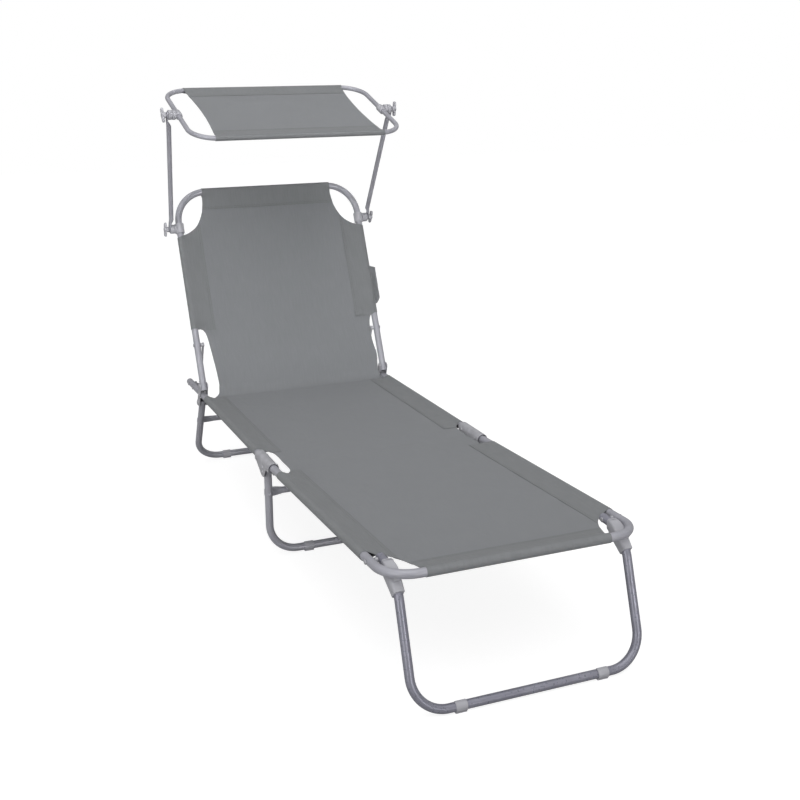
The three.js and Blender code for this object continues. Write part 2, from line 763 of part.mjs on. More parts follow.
// Front leg with its clips and pivot rivets
const frontLegDrop = heightOf(frontLeg) - floorCentre;
const elbow = { point: vec(frontLegHalfSpan, -elbowRun, -elbowDrop), radius: elbowBend };
const knee = { point: vec(frontLegHalfSpan, -kneeRun, -kneeDrop), radius: kneeBend };
const frontCorner = { point: vec(frontLegHalfSpan, -frontFootRun, -frontLegDrop), radius: legBend };
const frontLegStart = vec(frontLegHalfSpan, frontLegTail, 0);
const frontLegOuter = frontLegHalfSpan + tubeRadius;
const frontLegInner = frontLegHalfSpan - tubeRadius;
place(frontLeg, 'front_leg', cut(
  tube(uTube(frontLegStart, frontCorner, [elbow, knee]), tubeRadius, tubeWall),
  ...sides.map(({ side }) => crossPin(
    holeRadius, side * (frontLegInner - cutOverrun), side * (frontLegOuter + cutOverrun), 0, 0,
  )),
), steel);
sides.forEach(({ side, word }) => {
  const clip = floorClip(side * frontClipX, -frontFootRun, -frontLegDrop);
  place(frontLeg, `front_leg_clip_${word}`, clip, plastic);
  const spacer = [[frontLegOuter + gap, railInner - gap]];
  const pivotRivet = rivet(frontLegInner - gap, railOuter + gap, spacer, frontPivotAlong, 0);
  place(foot, `front_leg_pivot_rivet_${word}`, onSide(pivotRivet, side), zinc);
});

// Saddles: a sleeve over the slanted part of the front leg, with a web up to the end tube
function saddle() {
  const across = saddleHalfWidth - saddleRounding;
  const deep = saddleHalfDepth - saddleRounding;
  const outline = [[1, 1], [-1, 1], [-1, -1], [1, -1]].flatMap(([x, y], quarter) => arcPoints(
    saddleRounding, (quarter * Math.PI) / 2, ((quarter + 1) * Math.PI) / 2, 2, x * across, y * deep,
  ));
  const along = (from, to, distance) => (
    from.point.clone().addScaledVector(to.point.clone().sub(from.point).normalize(), distance)
  );
  const sleeve = swept(new THREE.Shape(outline), [
    { point: along(elbow, { point: frontLegStart }, saddleTop) },
    elbow,
    { point: along(elbow, knee, saddleReach) },
  ]);
  const legPath = uTube(frontLegStart, frontCorner, [elbow, knee]);
  const tubeY = footBend - frontPivotSetback - Math.sqrt(
    footBend ** 2 - (frontLegHalfSpan - halfSpan + footBend) ** 2,
  );
  const tubeCentre = vec(frontLegHalfSpan, tubeY, -tubeY * Math.tan(footSlope));
  const slant = knee.point.clone().sub(elbow.point).normalize();
  const toTube = tubeCentre.clone().sub(elbow.point);
  toTube.addScaledVector(slant, -toTube.dot(slant));
  const height = toTube.length() - webTubeReach;
  const web = new THREE.BoxGeometry(2 * webHalfThickness, 2 * webHalfDepth, height);
  const up = toTube.clone().normalize();
  const turn = new THREE.Matrix4().makeBasis(xAxis, up.clone().cross(xAxis), up);
  web.applyMatrix4(turn);
  const middle = tubeCentre.clone().addScaledVector(up, -webTubeReach - height / 2);
  web.translate(middle.x, middle.y, middle.z);
  const endTube = carried(tube(footCorners, tubeRadius + gap), foot, frontLeg);
  return cut(join(sleeve, web), tube(legPath, tubeRadius + gap), endTube);
}

sides.forEach(({ side, word }) => {
  place(frontLeg, `leg_saddle_${word}`, onSide(saddle(), side), plastic);
});

// Rear leg, crossbar and clips
const rearLegDirection = vec(0, Math.sin(rearLegLean), -Math.cos(rearLegLean));
const rearLegStart = rearLegDirection.clone().multiplyScalar(-rearLegTail).add(vec(halfSpan, 0, 0));
const rearLegCorners = uTube(
  rearLegStart,
  { point: vec(halfSpan, rearFootRun, -rearLegDrop), radius: legBend },
);
const rearCrossbarPlace = rearLegDirection.clone().multiplyScalar(rearCrossbarDrop);
place(rearLeg, 'rear_leg', cut(
  tube(rearLegCorners, tubeRadius, tubeWall),
  ...sides.map(({ side }) => crossPin(
    holeRadius, side * (railInner - cutOverrun), side * (railOuter + cutOverrun), 0, 0,
  )),
  ...crossbarHoles(rearCrossbarPlace.y, rearCrossbarPlace.z, rearLegLean),
), steel);
const rearCrossbar = crossbar(rearCrossbarPlace.y, rearCrossbarPlace.z, rearLegLean);
place(rearLeg, 'rear_leg_crossbar', rearCrossbar, steel);
sides.forEach(({ side, word }) => {
  const clip = floorClip(side * rearClipX, rearFootRun, -rearLegDrop);
  place(rearLeg, `rear_leg_clip_${word}`, clip, plastic);
});

// Backrest frame with its plugs
const backrestCorners = uTube(
  vec(halfSpan, -backrestTail, 0),
  { point: vec(halfSpan, backrestLength, 0), radius: backrestBend },
);
place(backrest, 'backrest_frame', cut(
  tube(backrestCorners, tubeRadius, tubeWall),
  ...sides.flatMap(({ side }) => [0, stayPivotAlong].map((along) => (
    crossPin(holeRadius, side * (railInner - cutOverrun), side * (railOuter + cutOverrun), along, 0)
  ))),
), steel);

// Stays that prop the backrest, each with a peg for the notch plate
const stayEnd = railInner - stayInset;
const stayStart = stayEnd - stayThickness;
sides.forEach(({ side, word }) => {
  place(backrest, `backrest_plug_${word}`, plug(side * halfSpan, -backrestTail, -1), plastic);
  const stay = cut(
    join(
      sidePlate(strap(0, 0, stayTopRadius, stayLength, 0, stayEndRadius), stayStart, stayEnd),
      crossPin(pegRadius, stayStart, stayEnd + pegLength, stayLength, 0),
    ),
    crossPin(holeRadius, stayStart - cutOverrun, stayEnd + cutOverrun, 0, 0),
  );
  place(stays, `backrest_stay_${word}`, onSide(stay, side), zinc);
  const spacer = [[stayEnd + gap, railInner - gap]];
  const stayRivet = rivet(stayStart - gap, railOuter + gap, spacer, stayPivotAlong, 0);
  place(backrest, `stay_pivot_rivet_${word}`, onSide(stayRivet, side), zinc);
});

// The place in x where a knob's hub starts, past the arm's flat end
function knobStart(tubeX) {
  return tubeX + clampReach + gap + 2 * armFlatHalfThickness + knobGap;
}

// A clamp round a tube that lies along y, with a boss that faces outward and a stud that carries the arm
function clamp(tubeX, radius, y) {
  const grip = alongPin(radius + gap + clampWall, y - clampLength / 2, y + clampLength / 2, tubeX, 0);
  const boss = crossPin(clampBossRadius, tubeX + radius, tubeX + clampReach, y, 0);
  const stud = crossPin(rivetRadius, tubeX + radius + clampWall, knobStart(tubeX) + studReach, y, 0);
  const reach = clampLength / 2 + cutOverrun;
  const bore = alongPin(radius + gap, y - reach, y + reach, tubeX, 0);
  return cut(join(grip, boss, stud), bore);
}

// A knob that turns on the end of a clamp's stud: a round hub and a wing to grip, at an angle from y
function knob(tubeX, y, angle) {
  const hub = knobStart(tubeX);
  const wingStart = hub + knobHubLength;
  const wingEnd = wingStart + knobThickness;
  const run = knobReach - knobHalfWidth;
  const outline = new THREE.Shape([
    ...arcPoints(knobHalfWidth, -Math.PI / 2, Math.PI / 2, knobArcSteps, run, 0),
    ...arcPoints(knobHalfWidth, Math.PI / 2, (3 * Math.PI) / 2, knobArcSteps, -run, 0),
  ]);
  const body = join(
    crossPin(knobHubRadius, hub, wingEnd, 0, 0, knobSides),
    sidePlate(outline, wingStart, wingEnd).rotateX(angle),
  );
  return cut(body.translate(0, y, 0), crossPin(holeRadius, hub - cutOverrun, hub + studReach + gap, y, 0));
}

// Canopy arms, flattened at their ends against the outer side; each leans outward from clamp to clamp
function arm() {
  const lowX = halfSpan + clampReach + gap + armFlatHalfThickness;
  const highX = canopyHalfSpan + clampReach + gap + armFlatHalfThickness;
  const ring = (x, y, halfThickness, halfWidth, squareness) => circlePoints(1, tubeSides).map((p) => vec(
    x + halfThickness * THREE.MathUtils.clamp(p.x * squareness, -1, 1),
    y,
    halfWidth * p.y,
  ));
  const flat = [armFlatHalfThickness, armFlatHalfWidth, 3];
  const tip = [armFlatHalfThickness, armFlatHalfWidth * armTipShare, 3];
  const round = [armRadius, armRadius, 1];
  const taperShare = (armFlatLength + armTaper) / armLength;
  const inset = armRadius - armFlatHalfThickness;
  const lowRoundX = THREE.MathUtils.lerp(lowX, highX, taperShare) - inset;
  const highRoundX = THREE.MathUtils.lerp(highX, lowX, taperShare) - inset;
  const bar = loft([
    ring(lowX, -armTip, ...tip),
    ring(lowX, -armTip / 2, ...flat),
    ring(lowX, armFlatLength, ...flat),
    ring(lowRoundX, armFlatLength + armTaper, ...round),
    ring(highRoundX, armLength - armFlatLength - armTaper, ...round),
    ring(highX, armLength - armFlatLength, ...flat),
    ring(highX, armLength + armTip / 2, ...flat),
    ring(highX, armLength + armTip, ...tip),
  ]);
  const holes = [[lowX, 0], [highX, armLength]].map(([x, y]) => (
    crossPin(holeRadius, x - cutOverrun, x + cutOverrun, y, 0)
  ));
  return cut(bar, ...holes);
}

sides.forEach(({ side, word }) => {
  const lowerLean = Math.PI / 2 + lowerKnobLeans[word] - backrestAngle;
  const upperLean = Math.PI / 2 + upperKnobLeans[word] - canopyTilt;
  place(backrest, `lower_clamp_${word}`, onSide(clamp(halfSpan, tubeRadius, armPivotAlong), side), plastic);
  place(backrest, `lower_knob_${word}`, onSide(knob(halfSpan, armPivotAlong, lowerLean), side), plastic);
  place(arms, `canopy_arm_${word}`, onSide(arm(), side), steel);
  place(canopy, `upper_clamp_${word}`, onSide(clamp(canopyHalfSpan, canopyTubeRadius, 0), side), plastic);
  place(canopy, `upper_knob_${word}`, onSide(knob(canopyHalfSpan, 0, upperLean), side), plastic);
});

// Canopy frame: a loop whose two ends meet in the middle of the rear run
const canopyCorners = uTube(
  vec(canopySplit / 2, canopyRear, 0),
  { point: vec(canopyHalfSpan, -canopyFront, 0), radius: canopyBend },
  [{ point: vec(canopyHalfSpan, canopyRear, 0), radius: canopyBend }],
);
place(canopy, 'canopy_frame', tube(canopyCorners, canopyTubeRadius, tubeWall), steel);

// The outline of a sleeve: round the tube and drawn together at its seam
function sleeveOutline(tubeRadiusHere, seam, thickness, seamMargin) {
  const radius = tubeRadiusHere + sleeveClearance + thickness;
  const apex = seam - seamMargin;
  const open = Math.acos(radius / apex);
  return [
    new THREE.Vector2(apex, 0),
    ...arcPoints(radius, open, 2 * Math.PI - open, sleeveArcSteps),
  ];
}

function sleeveShape(tubeRadiusHere, seam) {
  const shape = new THREE.Shape(sleeveOutline(tubeRadiusHere, seam, clothThickness, 0));
  const bore = sleeveOutline(tubeRadiusHere, seam, 0, 2 * sheetThickness);
  shape.holes.push(new THREE.Path(bore));
  return shape;
}

// A sleeve on a rail along y on the right side, with its seam towards the middle
function sideSleeve(seam, start, end) {
  const geometry = new THREE.ExtrudeGeometry(
    sleeveShape(tubeRadius, seam), { depth: end - start, bevelEnabled: false },
  );
  geometry.applyMatrix4(new THREE.Matrix4().makeBasis(
    xAxis.clone().negate(), zAxis, yAxis,
  ));
  return geometry.translate(halfSpan, start, 0);
}

// A sleeve on a tube across x, with its seam towards lower or higher y
function crossSleeve(radius, seam, half, y, facing) {
  const geometry = sidePlate(sleeveShape(radius, seam), -half, half);
  if (facing < 0) {
    geometry.rotateZ(Math.PI);
  }
  return geometry.translate(0, y, 0);
}

// A flat sheet from the outline of its right half, given from the lowest y to the highest
function sheet(halfOutline) {
  const left = [...halfOutline].reverse().map((p) => new THREE.Vector2(-p.x, p.y));
  const shape = new THREE.Shape([...halfOutline, ...left]);
  const geometry = new THREE.ExtrudeGeometry(shape, { depth: sheetThickness, bevelEnabled: false });
  return geometry.translate(0, 0, -sheetThickness / 2);
}

function point(x, y) {
  return new THREE.Vector2(x, y);
}

// A curved stretch of an outline, from one point to another past a control point
function curved(from, control, to) {
  return new THREE.QuadraticBezierCurve(from, control, to).getPoints(cutCurveSteps);
}

// The edge of a sheet where it meets its side sleeves lies a little inside their seams
const sleeveJoin = halfSpan - sideSeam + 2 * sheetThickness;
const backrestJoin = halfSpan - backrestSeam + 2 * sheetThickness;
const hingeEdge = halfSpan - flapInset;

// Foot fabric
const footSheet = sheet([
  point(footEndSleeveHalf, endSeam - sheetThickness - footLength),
  ...curved(
    point(footEndSleeveHalf, endSeam + sheetThickness - footLength),
    point(halfSpan - footCutInset, footCutSetback - footLength),
    point(sleeveJoin, -footSleeveEnd),
  ),
  point(sleeveJoin, -footSleeveStart),
  point(hingeEdge, hingeCutRound - footSleeveStart),
  point(hingeEdge, flapLength),
]);
place(foot, 'foot_sling', join(
  footSheet,
  crossSleeve(tubeRadius, endSeam, footEndSleeveHalf, -footLength, 1),
  ...sides.map(({ side }) => onSide(sideSleeve(sideSeam, -footSleeveEnd, -footSleeveStart), side)),
), fabric);

// Seat fabric
const seatSheet = sheet([
  point(hingeEdge, -flapLength),
  point(hingeEdge, seatSleeveStart - hingeCutRound),
  point(sleeveJoin, seatSleeveStart),
  point(sleeveJoin, seatSleeveEnd),
  point(halfSpan - hingeFlapInset, seatSleeveEnd + hingeCutRound),
  point(halfSpan - hingeFlapInset, seatSheetEnd),
]);
place(seat, 'seat_sling', join(
  seatSheet,
  ...sides.map(({ side }) => onSide(sideSleeve(sideSeam, seatSleeveStart, seatSleeveEnd), side)),
), fabric);

// Backrest fabric
const backrestSheet = sheet([
  ...curved(
    point(halfSpan - hingeFlapInset, -backrestFlap),
    point(halfSpan - backrestCutInset, backrestCutAlong),
    point(backrestJoin, backrestSleeveStart),
  ),
  ...curved(
    point(backrestJoin, backrestSleeveEnd),
    point(halfSpan - backrestTopCutInset, backrestTopCutAlong),
    point(backrestTopSleeveHalf, backrestLength - endSeam - sheetThickness),
  ),
  point(backrestTopSleeveHalf, backrestLength - endSeam + sheetThickness),
]);
place(backrest, 'backrest_sling', join(
  backrestSheet,
  crossSleeve(tubeRadius, endSeam, backrestTopSleeveHalf, backrestLength, -1),
  ...sides.map(({ side }) => (
    onSide(sideSleeve(backrestSeam, backrestSleeveStart, backrestSleeveEnd), side)
  )),
), fabric);

// Canopy fabric
const canopySheet = sheet(curved(
  point(canopySleeveHalf, canopySeam - sheetThickness - canopyFront),
  point(canopySleeveHalf - canopyWaist, (canopyRear - canopyFront) / 2),
  point(canopySleeveHalf, canopyRear - canopySeam + sheetThickness),
));
place(canopy, 'canopy_sling', join(
  canopySheet,
  crossSleeve(canopyTubeRadius, canopySeam, canopySleeveHalf, -canopyFront, 1),
  crossSleeve(canopyTubeRadius, canopySeam, canopySleeveHalf, canopyRear, -1),
), fabric);

// Side pocket: an open bag that hangs behind the right sleeve
function pocketBody(inset, height) {
  const frontZ = -(tubeRadius + sleeveClearance + clothThickness + gap + inset);
  const innerX = halfSpan - pocketInset + inset;
  return loft(pocketShares.map(([up, wide, deep]) => {
    const y = pocketStart + inset + up * height;
    const outerX = halfSpan - pocketInset + wide * pocketWidth - inset;
    const backZ = -(tubeRadius + sleeveClearance + clothThickness + gap + deep * pocketDepth) + inset;
    return [vec(innerX, y, frontZ), vec(outerX, y, frontZ), vec(outerX, y, backZ), vec(innerX, y, backZ)];
  }));
}
place(backrest, 'side_pocket', cut(
  pocketBody(0, pocketHeight),
  pocketBody(pocketWall, pocketHeight),
), fabric);

// The object stands with its lowest face on the floor and its middle over the origin
const box = new THREE.Box3().setFromObject(lounger, true);
lounger.position.y -= (box.min.y + box.max.y) / 2;

export default lounger;
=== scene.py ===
"""Folding sun lounger with a tilting canopy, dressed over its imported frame.

Lengths are in metres. Each section of the frame has its own flat coordinates:
x across, v along the section's tubes and n square to them, turned about the pivot that it hangs on.
"""

import json
import math
from collections import namedtuple
import bmesh
import bpy
from mathutils import Matrix, Vector, noise


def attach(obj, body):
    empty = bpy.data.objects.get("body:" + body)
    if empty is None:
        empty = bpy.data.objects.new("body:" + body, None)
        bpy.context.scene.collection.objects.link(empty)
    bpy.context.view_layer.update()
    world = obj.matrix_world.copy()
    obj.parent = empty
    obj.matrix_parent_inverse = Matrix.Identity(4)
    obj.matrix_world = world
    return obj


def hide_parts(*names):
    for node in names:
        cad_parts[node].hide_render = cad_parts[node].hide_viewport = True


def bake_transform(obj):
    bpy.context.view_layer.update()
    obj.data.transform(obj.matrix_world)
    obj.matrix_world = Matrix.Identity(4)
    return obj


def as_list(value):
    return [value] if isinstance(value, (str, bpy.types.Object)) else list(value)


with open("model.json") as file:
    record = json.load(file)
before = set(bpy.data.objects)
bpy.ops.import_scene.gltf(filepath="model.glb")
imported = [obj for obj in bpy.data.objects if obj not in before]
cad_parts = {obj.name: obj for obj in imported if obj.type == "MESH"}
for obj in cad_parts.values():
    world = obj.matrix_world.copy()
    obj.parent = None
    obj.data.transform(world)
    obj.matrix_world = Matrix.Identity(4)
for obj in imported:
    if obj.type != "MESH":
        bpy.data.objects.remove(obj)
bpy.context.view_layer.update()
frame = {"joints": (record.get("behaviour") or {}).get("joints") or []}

# Frame tubes
TUBE_RADIUS = 0.0095
TUBE_WALL = 0.001
RIVET_SHAFT = 0.003
RIVET_HEAD = 0.0055
RIVET_HEIGHT = 0.002
CANOPY_TUBE_RADIUS = 0.0065
HALF_SPAN = 0.2795
FRONT_LEG_HALF_SPAN = 0.2535
CANOPY_HALF_SPAN = 0.2995
FIT_GAP = 0.0003

# Sections: slopes at rest, lengths from the pivots and tails past them
FOOT_LENGTH = 0.7344
FOOT_END_RISE = 0.0257
FOOT_SLOPE = -math.asin(FOOT_END_RISE / FOOT_LENGTH)
SEAT_LENGTH = 0.749
SEAT_END_DROP = 0.0049
SEAT_SLOPE = -math.asin(SEAT_END_DROP / SEAT_LENGTH)
BACKREST_SLOPE = math.radians(65.33)
CANOPY_SLOPE = math.radians(17.4)
ARM_SLOPE = math.radians(113.5)
STAY_SLOPE = BACKREST_SLOPE - math.radians(133.1)
PIVOT_SPACING = 0.08
RAIL_TAIL = 0.007
BACKREST_PIVOT_ALONG = 0.58
BACKREST_PIVOT_RISE = 0.03
BACKREST_LENGTH = 0.576
BACKREST_TAIL = 0.014
REAR_PIVOT_ALONG = 0.6
REAR_PIVOT_DROP = 0.023
CANOPY_FRONT = 0.176
CANOPY_REAR = 0.185
ARM_LENGTH = 0.3643
ARM_ALONG = 0.469

# Bends of the tube centre lines
FOOT_BEND = 0.065
BACKREST_BEND = 0.09
LEG_BEND = 0.072
KNEE_BEND = 0.042
ELBOW_BEND = 0.04
CANOPY_BEND = 0.068
BEND_STEP = math.radians(4)

# Cloth
CLOTH = 0.0007
THREAD_SPACING = 0.0011
CLOTH_CLEARANCE = 0.0004
SIDE_SEAM = 0.047
BACKREST_SEAM = 0.053
END_SEAM = 0.046
CANOPY_SEAM = 0.042
FLANGE = 0.0085
SEAM_LIFT = 0.001
STITCH_PITCH = 0.0044
STITCH_LENGTH = 0.0031
STITCH_HALF_WIDTH = 0.0003
STITCH_INSET = 0.003
STITCH_ROWS = (0.0015, 0.0069)
SHEET_STEP = 0.005
SLEEVE_STEP = 0.006
LOWER_RECESS = 0.012
DRAWN_SEAM = 0.021
DRAWN_REACH = 0.045
SHEET_COLUMNS = 44
SAG = 0.0035
SHEET_LAP = 0.002
CREASE_RADIUS = 0.045
SPLIT_ALONG = 0.3

# Floor clips
CLIP_WALL = 0.0018
CLIP_LENGTH = 0.024
CLIP_PAD = 0.007
FLOOR_CENTRE = CLIP_WALL + FIT_GAP + TUBE_RADIUS

# Image size that the camera's framing is worked out from, and the lens
IMAGE_PIXELS = 800
FOCAL_PIXELS = 1203.64
SENSOR_WIDTH = 36.0
CAMERA_FROM_HINGE = Vector((-1.0591, -2.7095, 0.9996))
CAMERA_YAW = math.radians(-22.99)
CAMERA_PITCH = math.radians(-16.97)
CAMERA_ROLL = math.radians(-0.10)

JOINTS = {joint["name"]: Vector(joint["pos_m"]) for joint in frame["joints"]}
SIDES = (("left", -1), ("right", 1))


def section(pivot, slope):
    """The matrix that carries a section's own coordinates into the row frame."""
    return Matrix.Translation((0, pivot.y, pivot.z)) @ Matrix.Rotation(slope, 4, "X")


SEAT = section(JOINTS["mid_fold"], SEAT_SLOPE)
MIDDLE = section(JOINTS["mid_fold"] - Vector((0, PIVOT_SPACING / 2, 0)), 0)
FOOT = section(JOINTS["foot_fold"], FOOT_SLOPE)
FRONT_LEG = section(JOINTS["front_leg_fold"], 0)
REAR_LEG = section(JOINTS["rear_leg_fold"], 0)
BACKREST = section(JOINTS["backrest_recline"], BACKREST_SLOPE)
STAYS = section(JOINTS["stay_right_fold"], STAY_SLOPE)
ARMS = section(JOINTS["canopy_arms_swing"], ARM_SLOPE)
CANOPY = section(JOINTS["canopy_tilt"], CANOPY_SLOPE)


# Materials
PATCHES = 18.0


def srgb(red, green, blue):
    """A colour written as it looks on a screen, as the shader's own linear values."""
    def linear(value):
        value /= 255
        return value / 12.92 if value <= 0.04045 else ((value + 0.055) / 1.055) ** 2.4
    return (linear(red), linear(green), linear(blue), 1.0)


class Nodes:
    """A material's node tree with short calls for the few kinds of node that are used."""

    def __init__(self, name):
        self.material = bpy.data.materials.new(name)
        self.material.use_nodes = True
        self.tree = self.material.node_tree
        self.shader = self.tree.nodes["Principled BSDF"]

    def add(self, kind, **settings):
        node = self.tree.nodes.new(kind)
        for key, value in settings.items():
            setattr(node, key, value)
        return node

    def link(self, start, end):
        self.tree.links.new(start, end)

    def give(self, target, value):
        """A fixed value for an input, or the output of another node."""
        if isinstance(value, (int, float, tuple)):
            target.default_value = value
        else:
            self.link(value, target)

    def set(self, socket, value):
        self.give(self.shader.inputs[socket], value)

    def noise(self, scale, detail=3.0, stretch=(1, 1, 1), coordinates="Object"):
        where = self.add("ShaderNodeTexCoord")
        mapping = self.add("ShaderNodeMapping")
        mapping.inputs["Scale"].default_value = stretch
        self.link(where.outputs[coordinates], mapping.inputs["Vector"])
        texture = self.add("ShaderNodeTexNoise")
        texture.inputs["Scale"].default_value = scale
        texture.inputs["Detail"].default_value = detail
        self.link(mapping.outputs["Vector"], texture.inputs["Vector"])
        return texture.outputs["Fac"]

    def spread(self, value, low, high):
        """A texture's middle range laid over another range."""
        node = self.add("ShaderNodeMapRange")
        node.inputs["From Min"].default_value = 0.3
        node.inputs["From Max"].default_value = 0.7
        node.inputs["To Min"].default_value = low
        node.inputs["To Max"].default_value = high
        self.link(value, node.inputs["Value"])
        return node.outputs["Result"]

    def mix(self, value, first, second):
        node = self.add("ShaderNodeMix", data_type="RGBA")
        for socket, colour in (("A", first), ("B", second)):
            target = [s for s in node.inputs if s.name == socket and s.type == "RGBA"][0]
            self.give(target, colour)
        self.link(value, node.inputs["Factor"])
        return [s for s in node.outputs if s.type == "RGBA"][0]

    def maths(self, operation, *values):
        node = self.add("ShaderNodeMath", operation=operation)
        for target, value in zip(node.inputs, values):
            self.give(target, value)
        return node.outputs[0]

    def bump(self, height, distance, strength, after=None):
        node = self.add("ShaderNodeBump")
        node.inputs["Distance"].default_value = distance
        node.inputs["Strength"].default_value = strength
        self.link(height, node.inputs["Height"])
        if after is not None:
            self.link(after, node.inputs["Normal"])
        return node.outputs["Normal"]


def shaded(name, dark, light, roughness, metallic, grain, grain_depth):
    """Paint, plastic or thread: a little lighter and darker in patches, with a fine grain."""
    nodes = Nodes(name)
    patches = nodes.spread(nodes.noise(PATCHES), 0.0, 1.0)
    nodes.set("Base Color", nodes.mix(patches, dark, light))
    scuffs = nodes.noise(PATCHES * 9, 5.0)
    nodes.set("Roughness", nodes.spread(scuffs, roughness - 0.05, roughness + 0.06))
    nodes.set("Metallic", metallic)
    nodes.set("Normal", nodes.bump(nodes.noise(grain, 2.0), grain_depth, 0.35))
    return nodes.material


def brushed(name, dark, light):
    """Zinc plated sheet: clouded, with fine drawn lines along it."""
    nodes = Nodes(name)
    clouds = nodes.spread(nodes.noise(60, 4.0), 0.0, 1.0)
    lines = nodes.noise(500, 2.0, (1.0, 0.04, 1.0))
    nodes.set("Base Color", nodes.mix(clouds, dark, light))
    nodes.set("Roughness", nodes.spread(lines, 0.34, 0.52))
    nodes.set("Metallic", 0.35)
    nodes.set("Normal", nodes.bump(lines, 0.0001, 0.2))
    return nodes.material


def woven(name, dark, light):
    """Plain woven polyester: threads over and under each other, a soft mottle and a little sheen."""
    nodes = Nodes(name)
    where = nodes.add("ShaderNodeUVMap", uv_map="cloth")
    parts = nodes.add("ShaderNodeSeparateXYZ")
    nodes.link(where.outputs["UV"], parts.inputs["Vector"])
    threads = 2 * math.pi / THREAD_SPACING
    warp = nodes.maths("SINE", nodes.maths("MULTIPLY", parts.outputs["X"], threads))
    weft = nodes.maths("SINE", nodes.maths("MULTIPLY", parts.outputs["Y"], threads))
    over = nodes.maths("MULTIPLY", warp, weft)
    height = nodes.maths("ADD", over, nodes.maths("MULTIPLY", nodes.maths("ABSOLUTE", warp), 0.5))
    fibres = nodes.noise(900, 3.0, coordinates="UV")
    mottle = nodes.noise(14, 4.0, coordinates="UV")
    slub = nodes.noise(260, 2.0, (1.0, 0.08, 1.0), "UV")
    tone = nodes.maths("ADD", nodes.maths("MULTIPLY", fibres, 0.5), nodes.maths("MULTIPLY", mottle, 0.14))
    tone = nodes.maths("ADD", tone, nodes.maths("MULTIPLY", slub, 0.36))
    tone = nodes.maths("ADD", nodes.spread(tone, 0.0, 1.0), nodes.maths("MULTIPLY", over, 0.12))
    nodes.set("Base Color", nodes.mix(tone, dark, light))
    nodes.set("Roughness", nodes.spread(fibres, 0.78, 0.92))
    nodes.set("Sheen Weight", 0.12)
    nodes.set("Sheen Roughness", 0.45)
    nodes.set("Specular IOR Level", 0.25)
    soft = nodes.bump(nodes.noise(45, 3.0, coordinates="UV"), 0.001, 0.08)
    nodes.set("Normal", nodes.bump(height, 0.00025, 0.4, soft))
    return nodes.material


PAINT = shaded("silver_paint", srgb(159, 159, 167), srgb(171, 171, 179), 0.34, 0.15, 1400, 0.0002)
# A darker copy of the silver paint, used on the front leg: painted shade, since that leg has the same paint
# as the other tubes.
SHADED_LEG_PAINT = shaded("silver_paint_shaded_leg", srgb(134, 134, 146), srgb(148, 148, 160), 0.3, 0.3, 1400, 0.0002)
PLASTIC = shaded("pale_plastic", srgb(170, 170, 176), srgb(182, 182, 188), 0.52, 0.0, 900, 0.00015)
PLUG_PLASTIC = shaded("plug_plastic", srgb(96, 97, 101), srgb(108, 109, 113), 0.55, 0.0, 900, 0.00015)
ZINC = brushed("zinc_sheet", srgb(176, 176, 181), srgb(196, 196, 201))
FABRIC = woven("grey_cloth", srgb(127, 129, 132), srgb(136, 138, 141))
# A darker copy of the grey cloth for the sleeves round the tubes: painted shade, as the sleeves are the same
# cloth as the sheets.
SHADED_SLEEVE_FABRIC = woven("grey_cloth_shaded_sleeve", srgb(120, 122, 124), srgb(133, 135, 137))
THREAD = shaded("grey_thread", srgb(66, 67, 69), srgb(84, 85, 87), 0.7, 0.0, 2500, 0.0001)


# Shapes: each is a pair of points and faces


def loft(rings, closed=False):
    """A skin over rings of as many points each."""
    count = len(rings[0])
    points = [point for ring in rings for point in ring]
    faces = []
    for r in range(len(rings) if closed else len(rings) - 1):
        a, b = r * count, (r + 1) % len(rings) * count
        for i in range(count):
            j = (i + 1) % count
            faces.append((a + i, a + j, b + j, b + i))
    if not closed:
        last = (len(rings) - 1) * count
        faces.append(tuple(reversed(range(count))))
        faces.append(tuple(range(last, last + count)))
    return points, faces


def lengthwise(x):
    """The matrix that turns a shape made about x to lie along v, at a place across."""
    return Matrix.Translation((x, 0, 0)) @ Matrix.Rotation(math.pi / 2, 4, "Z")


def merged(*shapes):
    points, faces = [], []
    for more_points, more_faces in shapes:
        start = len(points)
        points += more_points
        faces += [tuple(start + i for i in face) for face in more_faces]
    return points, faces


def moved(shape, matrix):
    return [matrix @ Vector(point) for point in shape[0]], shape[1]


def mirrored(shape):
    return [Vector((-p[0], p[1], p[2])) for p in shape[0]], [tuple(reversed(f)) for f in shape[1]]


def on_side(shape, side):
    return mirrored(shape) if side < 0 else shape


def circle(radius, count=40):
    return [(radius * math.cos(2 * math.pi * i / count), radius * math.sin(2 * math.pi * i / count))
            for i in range(count)]


def rounded_square(half, rounding):
    steps = 6
    points = []
    for quarter in range(4):
        start = quarter * math.pi / 2
        cx = math.copysign(half - rounding, math.cos(start + math.pi / 4))
        cy = math.copysign(half - rounding, math.sin(start + math.pi / 4))
        for i in range(steps + 1):
            angle = start + math.pi / 2 * i / steps
            points.append((cx + rounding * math.cos(angle), cy + rounding * math.sin(angle)))
    return points


def bent_path(corners):
    """Points and directions along straight runs that arcs join; corners are points with radii."""
    stations = []
    last = len(corners) - 1
    for i, (point, radius) in enumerate(corners):
        if i in (0, last):
            other = corners[1 if i == 0 else last - 1][0]
            way = (other - point).normalized() * (1 if i == 0 else -1)
            stations.append((point.copy(), way))
            continue
        before = (point - corners[i - 1][0]).normalized()
        after = (corners[i + 1][0] - point).normalized()
        turn = before.angle(after)
        centre = point + (after - before).normalized() * radius / math.cos(turn / 2)
        arm = point - before * radius * math.tan(turn / 2) - centre
        axis = before.cross(after).normalized()
        steps = max(2, math.ceil(turn / BEND_STEP))
        for k in range(steps + 1):
            spin = Matrix.Rotation(turn * k / steps, 3, axis)
            stations.append((centre + spin @ arm, spin @ before))
    return stations


